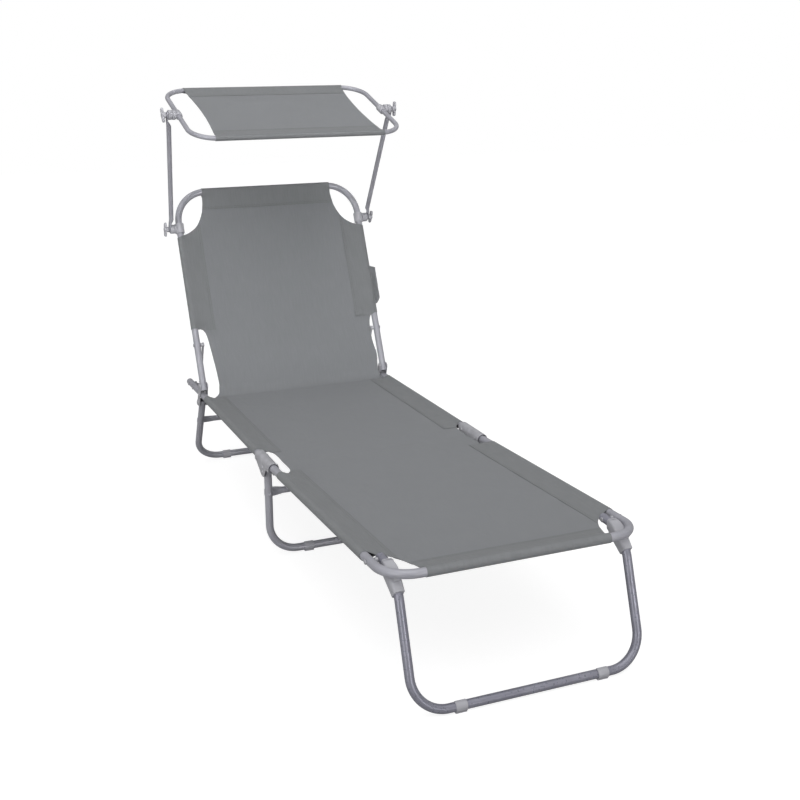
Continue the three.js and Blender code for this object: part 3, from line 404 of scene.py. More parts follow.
def along(stations, outline_at, start_side=Vector((1, 0, 0))):
    """Rings square to a path; outline_at gives the outline for a station's number."""
    rings = []
    side = start_side
    for i, (point, way) in enumerate(stations):
        side = side - way * side.dot(way)
        if side.length < 1e-6:
            side = way.orthogonal()
        side.normalize()
        up = way.cross(side)
        rings.append([point + side * x + up * y for x, y in outline_at(i)])
    return rings


def tube(corners, radius):
    """A bent tube with softened, open ends."""
    stations = bent_path(corners)
    first, start_way = stations[0]
    last, end_way = stations[-1]
    edge = TUBE_WALL * 0.35
    bore = radius - TUBE_WALL
    deep = 4 * radius
    starts = [(deep, bore), (0.0, bore), (0.0, radius - edge), (edge, radius)]
    path = [(first + start_way * d, start_way, r) for d, r in starts]
    path += [(point, way, radius) for point, way in stations[1:-1]]
    path += [(last - end_way * d, end_way, r) for d, r in reversed(starts)]
    start_side = start_way.orthogonal()
    return loft(along([(p, w) for p, w, _ in path], lambda i: circle(path[i][2]), start_side))


def u_path(start, corner, extra=()):
    near = [(start, 0), *extra, corner]
    far = [(Vector((-p.x, p.y, p.z)), r) for p, r in reversed(near)]
    return near + far


def lathe(profile, y, z, count=32):
    """A body turned about a line along x, from pairs of place in x and radius."""
    rings = []
    for x, radius in profile:
        rings.append([(x, y + max(radius, 1e-5) * c, z + max(radius, 1e-5) * s)
                      for c, s in circle(1, count)])
    return loft(rings)


def dome(x, radius, height, facing):
    """The profile of a rivet head that stands on a face at x."""
    steps = 6
    rim = height * 0.25
    points = [(x, radius), (x + facing * rim, radius)]
    for i in range(1, steps + 1):
        angle = math.pi / 2 * i / steps
        points.append((x + facing * (rim + (height - rim) * math.sin(angle)), radius * math.cos(angle)))
    return points


def rivet(inner, outer, spacers, y, z):
    shaft, head, height = RIVET_SHAFT, RIVET_HEAD, RIVET_HEIGHT
    profile = list(reversed(dome(inner, head, height, -1))) + [(inner, shaft)]
    for start, end in spacers:
        profile += [(start, shaft), (start, head), (end, head), (end, shaft)]
    profile += [(outer, shaft)] + dome(outer, head, height, 1)
    return lathe(profile, y, z)


def plate(outline, start, end):
    """An outline drawn in the side view, as a plate between two places in x."""
    return loft([[(x, y, z) for y, z in outline] for x in (min(start, end), max(start, end))])


def strap_reach(angle, origin, a, radius_a, b, radius_b):
    """How far a ray from origin runs inside the strap round circles a and b."""
    steps = 40
    best = 0.0
    ray = Vector((math.cos(angle), math.sin(angle)))
    for i in range(steps + 1):
        share = i / steps
        centre = a.lerp(b, share) - origin
        radius = radius_a + (radius_b - radius_a) * share
        forward = centre.dot(ray)
        across = centre.length_squared - forward * forward
        if across < radius * radius:
            best = max(best, forward + math.sqrt(radius * radius - across))
    return best


def straps(origin, pairs, count=120):
    """The outline of straps that share the circle at origin."""
    outline = []
    for i in range(count):
        angle = 2 * math.pi * i / count
        reach = max(strap_reach(angle, origin, *pair) for pair in pairs)
        outline.append((origin.x + reach * math.cos(angle), origin.y + reach * math.sin(angle)))
    return outline


# Pieces


def piece(name, shape, place, body, material, slot, replaces=(), bevel=0.0, sharp=38, uv=None):
    """A finished object in the row frame that rides on a body and stands for its solids."""
    mesh = bpy.data.meshes.new(name)
    points, faces = moved(shape, place)
    mesh.from_pydata([tuple(p) for p in points], [], faces)
    if uv is not None:
        layer = mesh.uv_layers.new(name="cloth")
        for loop in mesh.loops:
            layer.data[loop.index].uv = uv[loop.vertex_index]
    work = bmesh.new()
    work.from_mesh(mesh)
    bmesh.ops.remove_doubles(work, verts=work.verts, dist=1e-6)
    bmesh.ops.recalc_face_normals(work, faces=work.faces)
    if bevel:
        edges = [e for e in work.edges if len(e.link_faces) == 2 and e.calc_face_angle() > math.radians(40)]
        bmesh.ops.bevel(work, geom=edges, offset=bevel, segments=2, profile=0.6,
                        affect="EDGES", clamp_overlap=True)
    work.to_mesh(mesh)
    work.free()
    mesh.shade_smooth()
    mesh.set_sharp_from_angle(angle=math.radians(sharp))
    mesh.materials.append(material)
    made = bpy.data.objects.new(name, mesh)
    bpy.context.scene.collection.objects.link(made)
    if body:
        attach(made, body)
    if replaces:
        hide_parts(*replaces)
    return made


def steel(name, shape, place, body, node, material=PAINT, **options):
    return piece(name, shape, place, body, material, "frame_steel", [node], **options)


def zinc(name, shape, place, body, node, **options):
    return piece(name, shape, place, body, ZINC, "plate_zinc", [node], **options)


def plastic(name, shape, place, body, node, material=PLASTIC, **options):
    return piece(name, shape, place, body, material, "grey_plastic", [node], **options)


# Frame tubes
foot_corners = u_path(
    Vector((HALF_SPAN, RAIL_TAIL, 0)),
    (Vector((HALF_SPAN, -FOOT_LENGTH, 0)), FOOT_BEND),
)
steel("foot_tube", tube(foot_corners, TUBE_RADIUS), FOOT, "foot", "foot_frame")

backrest_corners = u_path(
    Vector((HALF_SPAN, -BACKREST_TAIL, 0)),
    (Vector((HALF_SPAN, BACKREST_LENGTH, 0)), BACKREST_BEND),
)
steel("backrest_tube", tube(backrest_corners, TUBE_RADIUS), BACKREST, "backrest", "backrest_frame")

for word, side in SIDES:
    rail = [(Vector((side * HALF_SPAN, v, 0)), 0) for v in (-RAIL_TAIL, SEAT_LENGTH)]
    steel(f"seat_tube_{word}", tube(rail, TUBE_RADIUS), SEAT, "seat", f"seat_rail_{word}")

MIDDLE_SETBACK = 0.006
MIDDLE_TOP_DROP = 0.004
middle_drop = JOINTS["mid_fold"].z - FLOOR_CENTRE
middle_corners = u_path(
    Vector((HALF_SPAN, -MIDDLE_SETBACK, -MIDDLE_TOP_DROP)),
    (Vector((HALF_SPAN, -MIDDLE_SETBACK, -middle_drop)), LEG_BEND),
)
steel("middle_leg_tube", tube(middle_corners, TUBE_RADIUS), MIDDLE, "middle_leg", "middle_leg")

REAR_FOOT_RUN = 0.1098
REAR_TAIL = 0.008
rear_drop = JOINTS["rear_leg_fold"].z - FLOOR_CENTRE
rear_way = Vector((0, REAR_FOOT_RUN, -rear_drop)).normalized()
rear_lean = math.atan2(REAR_FOOT_RUN, rear_drop)
rear_corners = u_path(
    Vector((HALF_SPAN, 0, 0)) - rear_way * REAR_TAIL,
    (Vector((HALF_SPAN, REAR_FOOT_RUN, -rear_drop)), LEG_BEND),
)
steel("rear_leg_tube", tube(rear_corners, TUBE_RADIUS), REAR_LEG, "rear_leg", "rear_leg")

FRONT_FOOT_RUN = 0.1572
front_drop = JOINTS["front_leg_fold"].z - FLOOR_CENTRE
front_start = Vector((FRONT_LEG_HALF_SPAN, 0.012, 0))
elbow = (Vector((FRONT_LEG_HALF_SPAN, -0.033, -0.0018)), ELBOW_BEND)
knee = (Vector((FRONT_LEG_HALF_SPAN, -0.081, -0.0398)), KNEE_BEND)
front_corner = (Vector((FRONT_LEG_HALF_SPAN, -FRONT_FOOT_RUN, -front_drop)), LEG_BEND)
front_corners = u_path(front_start, front_corner, (elbow, knee))
# The front leg takes the darker copy of the paint, which is painted shade.
steel("front_leg_tube", tube(front_corners, TUBE_RADIUS), FRONT_LEG, "front_leg", "front_leg", SHADED_LEG_PAINT)

canopy_ring = [
    (Vector((sx * CANOPY_HALF_SPAN, y, 0)), CANOPY_BEND)
    for sx, y in ((1, CANOPY_REAR), (1, -CANOPY_FRONT), (-1, -CANOPY_FRONT), (-1, CANOPY_REAR))
]
canopy_joint = (Vector((0, CANOPY_REAR, 0)), 0)
canopy_stations = bent_path([canopy_joint, *canopy_ring, canopy_joint])[:-1]
canopy_tube = loft(
    along(canopy_stations, lambda i: circle(CANOPY_TUBE_RADIUS), Vector((0, 0, 1))), closed=True,
)
steel("canopy_tube", canopy_tube, CANOPY, "canopy", "canopy_frame")


# Tubes with flattened ends
def squashed(a, b, roundness, count=40):
    """An outline between an ellipse and a flat bar, by its half thickness and half width."""
    power = 2 / roundness
    points = []
    for c, s in circle(1, count):
        points.append((a * math.copysign(abs(c) ** power, c), b * math.copysign(abs(s) ** power, s)))
    return points


def ease(value):
    value = min(1.0, max(0.0, value))
    return value * value * (3 - 2 * value)


FLAT_HALF_THICKNESS = 0.0018
ARM_RADIUS = 0.0066
ARM_FLAT_HALF_WIDTH = 0.0088
ARM_TIP = 0.009
ARM_FLAT = 0.0145
ARM_TAPER = 0.02
CLAMP_REACH = 0.0277
arm_low = HALF_SPAN + CLAMP_REACH + FIT_GAP + FLAT_HALF_THICKNESS
arm_high = CANOPY_HALF_SPAN + CLAMP_REACH + FIT_GAP + FLAT_HALF_THICKNESS


def arm_shape():
    places = [-ARM_TIP + ARM_TIP * (1 - math.cos(math.pi / 2 * i / 6)) * 0.98 for i in range(6)]
    places += [0.0, ARM_FLAT / 2, ARM_FLAT]
    places += [ARM_FLAT + ARM_TAPER * i / 12 for i in range(1, 13)]
    places += [ARM_LENGTH - v for v in reversed(places)]
    rings = []
    for v in places:
        near = min(v, ARM_LENGTH - v)
        flatness = 1 - ease((near - ARM_FLAT) / ARM_TAPER)
        half_thickness = ARM_RADIUS + (FLAT_HALF_THICKNESS - ARM_RADIUS) * flatness
        half_width = ARM_RADIUS + (ARM_FLAT_HALF_WIDTH - ARM_RADIUS) * flatness
        if near < 0:
            half_width *= math.sqrt(max(0.03, 1 - (near / ARM_TIP) ** 2))
        share = ease((v - ARM_FLAT) / (ARM_LENGTH - 2 * ARM_FLAT))
        share = share * 0.25 + 0.75 * min(1, max(0, (v - ARM_FLAT) / (ARM_LENGTH - 2 * ARM_FLAT)))
        x = arm_low + (arm_high - arm_low) * share - (ARM_RADIUS - FLAT_HALF_THICKNESS) * (1 - flatness)
        rings.append([(x + a, v, b) for a, b in squashed(half_thickness, half_width, 2 + 3 * flatness)])
    return loft(rings)


for word, side in SIDES:
    steel(f"arm_tube_{word}", on_side(arm_shape(), side), ARMS, "canopy_arms", f"canopy_arm_{word}")

CROSSBAR_RADIUS = 0.008
CROSSBAR_FLAT = 0.012
CROSSBAR_FLAT_THICKNESS = 0.002
CROSSBAR_FLAT_LENGTH = 0.026
CROSSBAR_TAPER = 0.03
CROSSBAR_MARGIN = 0.007
CROSSBAR_END = 0.004
CROSSBAR_PIN = 0.0025


def crossbar_shape():
    """A round bar with flat, rounded ends behind the leg, and the rivets that hold it."""
    end = HALF_SPAN + CROSSBAR_MARGIN
    flat = HALF_SPAN - CROSSBAR_FLAT_LENGTH / 2
    places = [end, end - 0.0006, end - 0.0016, end - CROSSBAR_END, flat + CROSSBAR_END]
    places += [flat - CROSSBAR_TAPER * i / 12 for i in range(13)]
    places += [-x for x in reversed(places)]
    offset = TUBE_RADIUS + FIT_GAP + CROSSBAR_FLAT_THICKNESS
    rings = []
    for x in places:
        flatness = 1 - ease((flat - abs(x)) / CROSSBAR_TAPER)
        thick = CROSSBAR_RADIUS + (CROSSBAR_FLAT_THICKNESS - CROSSBAR_RADIUS) * flatness
        tall = CROSSBAR_RADIUS + (CROSSBAR_FLAT - CROSSBAR_RADIUS) * flatness
        past = max(0.0, (abs(x) - (end - CROSSBAR_END)) / CROSSBAR_END)
        tall *= math.sqrt(max(0.05, 1 - 0.55 * past * past))
        rings.append([(x, offset + a, b) for a, b in squashed(thick, tall, 2 + 3 * flatness)])
    shapes = [loft(rings)]
    front = -TUBE_RADIUS - FIT_GAP
    for side in (-1, 1):
        pin = lathe([(front, CROSSBAR_PIN), (offset, CROSSBAR_PIN)], 0, 0)
        head = lathe(list(reversed(dome(front, RIVET_HEAD, RIVET_HEIGHT, -1))), 0, 0)
        turn = lengthwise(side * HALF_SPAN)
        shapes += [moved(pin, turn), moved(head, turn)]
    return merged(*shapes)


MIDDLE_CROSSBAR_DROP = 0.081
REAR_CROSSBAR_DROP = 0.086
middle_bar_place = MIDDLE @ Matrix.Translation((0, -MIDDLE_SETBACK, -MIDDLE_CROSSBAR_DROP))
steel("middle_crossbar", crossbar_shape(), middle_bar_place, "middle_leg", "middle_leg_crossbar")
rear_bar_place = (
    REAR_LEG @ Matrix.Translation(rear_way * REAR_CROSSBAR_DROP) @ Matrix.Rotation(rear_lean, 4, "X")
)
steel("rear_crossbar", crossbar_shape(), rear_bar_place, "rear_leg", "rear_leg_crossbar")


# Floor clips
def arc(radius, start, end, steps, cy=0.0, cz=0.0):
    return [(cy + radius * math.cos(start + (end - start) * i / steps),
             cz + radius * math.sin(start + (end - start) * i / steps)) for i in range(steps + 1)]


def clip_shape(x, y, z):
    inner = TUBE_RADIUS + FIT_GAP / 2
    outer = TUBE_RADIUS + FIT_GAP + CLIP_WALL
    opening, aim = math.radians(56), math.radians(48)
    start, end = aim + opening / 2, aim - opening / 2 + 2 * math.pi
    spread = math.asin(CLIP_PAD / outer)
    outline = arc(outer, start, 1.5 * math.pi - spread, 24, y, z)
    outline += [(y - CLIP_PAD, z - outer), (y + CLIP_PAD, z - outer)]
    outline += arc(outer, 1.5 * math.pi + spread, end, 16, y, z)
    outline += arc(inner, end, start, 44, y, z)
    return plate(outline, x - CLIP_LENGTH / 2, x + CLIP_LENGTH / 2)


CLIP_ACROSS = {"front_leg": 0.158, "middle_leg": 0.180, "rear_leg": 0.187}
for word, side in SIDES:
    for leg, place, y, z in (
        ("front_leg", FRONT_LEG, -FRONT_FOOT_RUN, -front_drop),
        ("middle_leg", MIDDLE, -MIDDLE_SETBACK, -middle_drop),
        ("rear_leg", REAR_LEG, REAR_FOOT_RUN, -rear_drop),
    ):
        plastic(f"{leg}_floor_clip_{word}", clip_shape(side * CLIP_ACROSS[leg], y, z), place, leg,
                f"{leg}_clip_{word}", bevel=0.0004)


# Tube plugs
PLUG_DEPTH = 0.008
PLUG_CORE = 0.0076
PLUG_FLANGE = 0.0025


def plug_shape(x, mouth, facing):
    """A plug in a tube's end at mouth, with a thin flange over the tube's wall."""
    face = mouth + facing * FIT_GAP
    inside = mouth - facing * PLUG_DEPTH
    flange = facing * PLUG_FLANGE
    profile = [
        (inside, 0.0), (inside, PLUG_CORE), (face, PLUG_CORE), (face, TUBE_RADIUS - 0.0002),
        (face + flange * 0.5, TUBE_RADIUS - 0.0002), (face + flange * 0.85, TUBE_RADIUS - 0.001),
        (face + flange, TUBE_RADIUS - 0.003), (face + flange, 0.0),
    ]
    return moved(lathe(profile, 0, 0), lengthwise(x))


for word, side in SIDES:
    plastic(f"rail_end_{word}", plug_shape(side * HALF_SPAN, SEAT_LENGTH, 1), SEAT, "seat",
            f"rail_plug_{word}", PLUG_PLASTIC)
    plastic(f"backrest_end_{word}", plug_shape(side * HALF_SPAN, -BACKREST_TAIL, -1), BACKREST,
            "backrest", f"backrest_plug_{word}", PLUG_PLASTIC)


# Hinge covers and their rivets
COVER_INNER = 0.0124
COVER_OUTER = 0.0139
COVER_OVERHANG = 0.016
EAR_DROP = 0.034
EAR_RIVET_DROPS = (0.01, 0.022)
EAR_RIVET_HEAD = 0.005
EAR_RIVET_HEIGHT = 0.0019
cover_half = PIVOT_SPACING / 2 + COVER_OVERHANG
ear_shares = ((-1, 0.21), (-0.62, 0.25), (-0.45, 0.55), (-0.3, 0.93), (-0.24, 1), (0.0, 1),
              (0.09, 0.94), (0.4, 0.64), (0.78, 0.29), (1, 0.21))


def skirt_depth(v):
    """How far the cover reaches below the rail's centre, smoothed along it."""
    def raw(share):
        for (a, low), (b, high) in zip(ear_shares, ear_shares[1:]):
            if share <= b:
                return low + (high - low) * max(0.0, share - a) / (b - a)
        return ear_shares[-1][1]
    share = v / cover_half
    around = [raw(min(1.0, max(-1.0, share + d))) for d in (-0.05, -0.025, 0.0, 0.025, 0.05)]
    return EAR_DROP * sum(around) / len(around)


def cover_shape():
    """A bent plate over the joint of two rails, with an ear at its middle that the leg is riveted to."""
    rings = []
    stations = 72
    for k in range(stations + 1):
        v = -cover_half + 2 * cover_half * k / stations
        depth = skirt_depth(v)
        outer = [(COVER_OUTER, -depth * d) for d in (1, 0.66, 0.33)]
        outer += arc(COVER_OUTER, 0, math.pi, 24) + [(-COVER_OUTER, -depth * d) for d in (0.33, 0.66, 1)]
        inner = [(-COVER_INNER, -depth * d) for d in (1, 0.66, 0.33)]
        inner += arc(COVER_INNER, math.pi, 0, 24) + [(COVER_INNER, -depth * d) for d in (0.33, 0.66, 1)]
        rings.append([(HALF_SPAN + x, v, z) for x, z in outer + inner])
    shapes = [loft(rings)]
    for drop in EAR_RIVET_DROPS:
        heads = list(reversed(dome(HALF_SPAN - COVER_OUTER, EAR_RIVET_HEAD, EAR_RIVET_HEIGHT, -1)))
        heads += dome(HALF_SPAN + COVER_OUTER, EAR_RIVET_HEAD, EAR_RIVET_HEIGHT, 1)
        shapes.append(lathe(heads, -MIDDLE_SETBACK, -drop))
    return merged(*shapes)


for word, side in SIDES:
    zinc(f"hinge_shell_{word}", on_side(cover_shape(), side), MIDDLE, "middle_leg",
         f"hinge_cover_{word}", bevel=0.0003)
    for end, v in (("front", -PIVOT_SPACING / 2), ("rear", PIVOT_SPACING / 2)):
        hinge_rivet = rivet(HALF_SPAN - COVER_OUTER - FIT_GAP, HALF_SPAN + COVER_OUTER + FIT_GAP, (), v, 0)
        zinc(f"hinge_pin_{word}_{end}", on_side(hinge_rivet, side), MIDDLE, "middle_leg",
             f"hinge_rivet_{word}_{end}")

# Front leg pivots and saddles
FRONT_PIVOT_SETBACK = 0.093
FRONT_PIVOT_ALONG = FRONT_PIVOT_SETBACK - FOOT_LENGTH
for word, side in SIDES:
    inner = FRONT_LEG_HALF_SPAN - TUBE_RADIUS - FIT_GAP
    outer = HALF_SPAN + TUBE_RADIUS + FIT_GAP
    spacer = [(FRONT_LEG_HALF_SPAN + TUBE_RADIUS + FIT_GAP, HALF_SPAN - TUBE_RADIUS - FIT_GAP)]
    zinc(f"front_leg_pin_{word}", on_side(rivet(inner, outer, spacer, FRONT_PIVOT_ALONG, 0), side), FOOT,
         "foot", f"front_leg_pivot_rivet_{word}")

SADDLE_HALF = 0.0113
SADDLE_DEEP = 0.0123
SADDLE_FLARE = 0.0027
SADDLE_ROUNDING = 0.0048
SADDLE_TOP = 0.015
SADDLE_DOME = 0.011
SADDLE_REACH = 0.06
SADDLE_BORE = TUBE_RADIUS + FIT_GAP
slant = (knee[0] - elbow[0]).normalized()
below_knee = (front_corner[0] - knee[0]).normalized()


def saddle_shape():
    """A sleeve over the slanted part of the front leg, with a domed top and a square lower end."""
    upper_end = elbow[0] + (front_start - elbow[0]).normalized() * SADDLE_TOP
    stations = bent_path([(upper_end, 0), elbow, (elbow[0] + slant * SADDLE_REACH, 0)])
    first, way = stations[0]
    dome_steps = 9
    path = []
    for i in range(dome_steps + 1):
        angle = math.pi / 2 * i / dome_steps
        path.append((first + way * SADDLE_DOME * (1 - math.cos(angle)), way, math.sin(angle)))
    path += [(p, w, 1.0) for p, w in stations[2:]]
    run = (path[-1][0] - first).length

    def outline(i):
        fullness = path[i][2]
        half = SADDLE_HALF + SADDLE_FLARE * math.sin(math.pi * (path[i][0] - first).length / run) ** 2
        deeper = SADDLE_DEEP / SADDLE_HALF
        points = []
        for x, y in rounded_square(half, SADDLE_ROUNDING):
            angle = math.atan2(y * deeper, x)
            points.append((
                (SADDLE_BORE + 0.0003) * math.cos(angle) * (1 - fullness) + x * fullness,
                (SADDLE_BORE + 0.0003) * math.sin(angle) * (1 - fullness) + y * deeper * fullness,
            ))
        return points

    rings = along([(p, w) for p, w, _ in path], outline)
    last_ring = rings[-1]
    centre, way = path[-1][0], path[-1][1]
    rings.append([centre + (p - centre) * 0.96 + way * 0.0006 for p in last_ring])
    turn = slant.angle(below_knee)
    before_bend = (knee[0] - elbow[0]).length - KNEE_BEND * math.tan(turn / 2)
    drift = KNEE_BEND * (1 - math.cos(math.asin((SADDLE_REACH - before_bend) / KNEE_BEND)))
    aside = (below_knee - slant * below_knee.dot(slant)).normalized()
    mouth = centre + aside * drift
    inner = [mouth + (p - centre).normalized() * SADDLE_BORE + way * 0.0006 for p in last_ring]
    rings.append(inner)
    rings.append([p - way * 0.012 - aside * drift * 0.9 for p in inner])
    return loft(rings)


WEB_HALF_THICKNESS = 0.008
WEB_HALF_DEPTH = 0.006


def web_shape():
    """The rib between the saddle and the end tube above it."""
    rise = -math.tan(FOOT_SLOPE)
    up = Vector((0, slant.z, -slant.y))

    def tube_place(x):
        bend = math.sqrt(FOOT_BEND ** 2 - (x - HALF_SPAN + FOOT_BEND) ** 2)
        y = -FRONT_PIVOT_SETBACK + FOOT_BEND - bend
        place = Vector((x, y, -y * rise)) - elbow[0]
        return place.dot(slant), place.dot(up)

    middle = tube_place(FRONT_LEG_HALF_SPAN)[0]
    rings = []
    for i in range(7):
        x = FRONT_LEG_HALF_SPAN + WEB_HALF_THICKNESS * (i / 3 - 1)
        tube_along, tube_up = tube_place(x)
        across = [middle + WEB_HALF_DEPTH * (k / 4 - 1) for k in range(9)]
        tops = []
        for u in across:
            under = max(0.0, SADDLE_BORE ** 2 - (u - tube_along) ** 2)
            tops.append((u, tube_up - math.sqrt(under)))
        outline = [(across[0], 0.0)] + tops + [(across[-1], 0.0)]
        base = Vector((x, elbow[0].y, elbow[0].z))
        rings.append([base + slant * u + up * h for u, h in outline])
    return loft(rings)


for word, side in SIDES:
    plastic(f"saddle_{word}", on_side(merged(saddle_shape(), web_shape()), side), FRONT_LEG,
            "front_leg", f"leg_saddle_{word}")

# Bracket plates at the backrest hinge, with their rivets
PLATE = 0.002
rail_outer = HALF_SPAN + TUBE_RADIUS
rail_inner = HALF_SPAN - TUBE_RADIUS
outer_plate = (rail_outer + FIT_GAP, rail_outer + FIT_GAP + PLATE)
inner_plate = (rail_inner - FIT_GAP - PLATE, rail_inner - FIT_GAP)
top_pivot = Vector((BACKREST_PIVOT_ALONG, BACKREST_PIVOT_RISE))
low_pivot = Vector((REAR_PIVOT_ALONG, -REAR_PIVOT_DROP))
STOP_ALONG = 0.014
STOP_RADIUS = 0.003
stop_reach = TUBE_RADIUS + FIT_GAP + STOP_RADIUS
stop_pin = Vector((
    REAR_PIVOT_ALONG + STOP_ALONG * math.sin(rear_lean) + stop_reach * math.cos(rear_lean),
    stop_reach * math.sin(rear_lean) - STOP_ALONG * math.cos(rear_lean) - REAR_PIVOT_DROP,
))
RAIL_RIVET_ALONG = 0.592
BRACKET_LOW, BRACKET_TOP, BRACKET_STOP = 0.012, 0.0095, 0.006
bracket_outline = straps(low_pivot, [
    (low_pivot, BRACKET_LOW, top_pivot, BRACKET_TOP),
    (low_pivot, BRACKET_LOW, stop_pin, BRACKET_STOP),
])
for word, side in SIDES:
    outer = merged(
        plate(bracket_outline, *outer_plate),
        lathe([(inner_plate[0], STOP_RADIUS), *dome(outer_plate[1], STOP_RADIUS, 0.0008, 1)], *stop_pin),
        lathe([*reversed(dome(inner_plate[0] - FIT_GAP, RIVET_HEAD, RIVET_HEIGHT, -1)),
               *dome(outer_plate[1], RIVET_HEAD, RIVET_HEIGHT, 1)], RAIL_RIVET_ALONG, 0),
    )
    zinc(f"bracket_{word}_outer", on_side(outer, side), SEAT, "seat", f"bracket_plate_{word}_outer",
         bevel=0.0003)
    zinc(f"bracket_{word}_inner", on_side(plate(bracket_outline, *inner_plate), side), SEAT, "seat",
         f"bracket_plate_{word}_inner", bevel=0.0003)
    for label, node, pivot in (
        ("backrest_pin", "backrest_pivot_rivet", top_pivot),
        ("rear_leg_pin", "rear_leg_pivot_rivet", low_pivot),
    ):
        pin = rivet(inner_plate[0] - FIT_GAP, outer_plate[1] + FIT_GAP, (), *pivot)
        zinc(f"{label}_{word}", on_side(pin, side), SEAT, "seat", f"{node}_{word}")

# Notch plates and stays
NOTCH_START = 0.664
NOTCH_LENGTH = 0.076
NOTCH_TOP = 0.0106
NOTCH_FALL = 0.0102
NOTCH_DEPTH = 0.009
NOTCH_HALF = 0.0034
NOTCH_CUT = 0.0045
NOTCH_INSET = 0.0026
NOTCH_PLATE = 0.003
NOTCH_SPACER = 0.0052
notch_end = rail_inner - NOTCH_INSET
notch_start = notch_end - NOTCH_PLATE
notch_outline = [(NOTCH_START, -NOTCH_DEPTH), (NOTCH_START + NOTCH_LENGTH, -NOTCH_DEPTH),
                 (NOTCH_START + NOTCH_LENGTH, NOTCH_TOP - NOTCH_FALL)]
for share in (0.87, 0.65, 0.43, 0.21):
    middle = NOTCH_START + share * NOTCH_LENGTH
    level = NOTCH_TOP - share * NOTCH_FALL
    notch_outline += [(middle + NOTCH_HALF, level)]
    notch_outline += arc(NOTCH_HALF * 0.75, 0, -math.pi, 8, middle, level - NOTCH_CUT * 0.5)
    notch_outline += [(middle - NOTCH_HALF, level)]
notch_outline += [(NOTCH_START, NOTCH_TOP)]
STAY_LENGTH = 0.135
STAY_ALONG = 0.12
STAY_INSET = 0.0062
STAY_THICKNESS = 0.003
STAY_PEG_REACH = 0.0037
STAY_PEG_RADIUS = 0.0025
stay_end = rail_inner - STAY_INSET
stay_start = stay_end - STAY_THICKNESS
STAY_WIDE, STAY_NARROW = 0.007, 0.006
stay_peg = Vector((STAY_LENGTH, 0))
stay_outline = straps(Vector((0, 0)), [(Vector((0, 0)), STAY_WIDE, stay_peg, STAY_NARROW)], 240)
for word, side in SIDES:
    shapes = [plate(notch_outline, notch_start, notch_end)]
    for share in (0.18, 0.82):
        shapes.append(lathe([
            (notch_start, RIVET_SHAFT), (notch_start, NOTCH_SPACER), (rail_inner - FIT_GAP, NOTCH_SPACER),
            (rail_inner - FIT_GAP, RIVET_SHAFT), (rail_outer + FIT_GAP, RIVET_SHAFT),
            *dome(rail_outer + FIT_GAP, RIVET_HEAD, 0.0017, 1),
        ], NOTCH_START + share * NOTCH_LENGTH, 0))
    zinc(f"notched_plate_{word}", on_side(merged(*shapes), side), SEAT, "seat", f"notch_plate_{word}",
         bevel=0.0002)
    stay = merged(
        plate(stay_outline, stay_start, stay_end),
        lathe([(stay_start - 0.0006, 0.0), (stay_start - 0.0006, 0.0035), (stay_start, 0.0035),
               (stay_start, STAY_PEG_RADIUS), (stay_end + STAY_PEG_REACH, STAY_PEG_RADIUS),
               (stay_end + STAY_PEG_REACH, 0.0)], STAY_LENGTH, 0),
    )
    zinc(f"stay_bar_{word}", on_side(stay, side), STAYS, f"stay_{word}", f"backrest_stay_{word}",
         bevel=0.0003)
    stay_pin = rivet(stay_start - FIT_GAP, rail_outer + FIT_GAP,
                     [(stay_end + FIT_GAP, rail_inner - FIT_GAP)], STAY_ALONG, 0)
    zinc(f"stay_pin_{word}", on_side(stay_pin, side), BACKREST, "backrest", f"stay_pivot_rivet_{word}")

# Canopy clamps and knobs
CLAMP_LENGTH = 0.029
CLAMP_WALL = 0.0034
BOSS_RADIUS = 0.0135
STUD_RADIUS = 0.003
STUD_REACH = 0.005
KNOB_GAP = 0.0012
KNOB_REACH = 0.021
KNOB_HALF_WIDTH = 0.0065
KNOB_THICKNESS = 0.008
KNOB_HUB = 0.008
KNOB_HUB_LENGTH = 0.0055
KNOB_LEANS = {("low", -1): 10, ("low", 1): 27, ("up", -1): -29, ("up", 1): 7}


def knob_start(x):
    return x + CLAMP_REACH + FIT_GAP + 2 * FLAT_HALF_THICKNESS + KNOB_GAP


def clamp_shape(x, radius, v):
    grip = radius + FIT_GAP + CLAMP_WALL
    bore = radius + FIT_GAP / 2
    half = CLAMP_LENGTH / 2
    profile = [(-half, bore), (-half, grip - 0.0012), (-half + 0.0004, grip - 0.0004),
               (-half + 0.0012, grip), (half - 0.0012, grip), (half - 0.0004, grip - 0.0004),
               (half, grip - 0.0012), (half, bore)]
    rings = [[(x + r * c, v + along_tube, r * s) for c, s in circle(1, 40)] for along_tube, r in profile]
    collar = loft(rings, closed=True)
    reach = x + CLAMP_REACH
    foot_face = x + radius + 0.0015
    groove = reach - 0.0098
    boss = lathe([
        (foot_face, 0.0), (foot_face, BOSS_RADIUS - 0.0006), (foot_face + 0.0006, BOSS_RADIUS),
        (groove - 0.0026, BOSS_RADIUS), (groove - 0.002, BOSS_RADIUS - 0.0006),
        (groove - 0.002, BOSS_RADIUS - 0.0022), (groove, BOSS_RADIUS - 0.0022),
        (groove, BOSS_RADIUS - 0.0008), (groove + 0.0006, BOSS_RADIUS - 0.0002),
        (reach - 0.001, BOSS_RADIUS - 0.0002), (reach - 0.0003, BOSS_RADIUS - 0.0006),
        (reach, BOSS_RADIUS - 0.0014), (reach, STUD_RADIUS),
        (knob_start(x) + STUD_REACH, STUD_RADIUS), (knob_start(x) + STUD_REACH, 0.0),
    ], v, 0, 40)
    return merged(collar, boss)


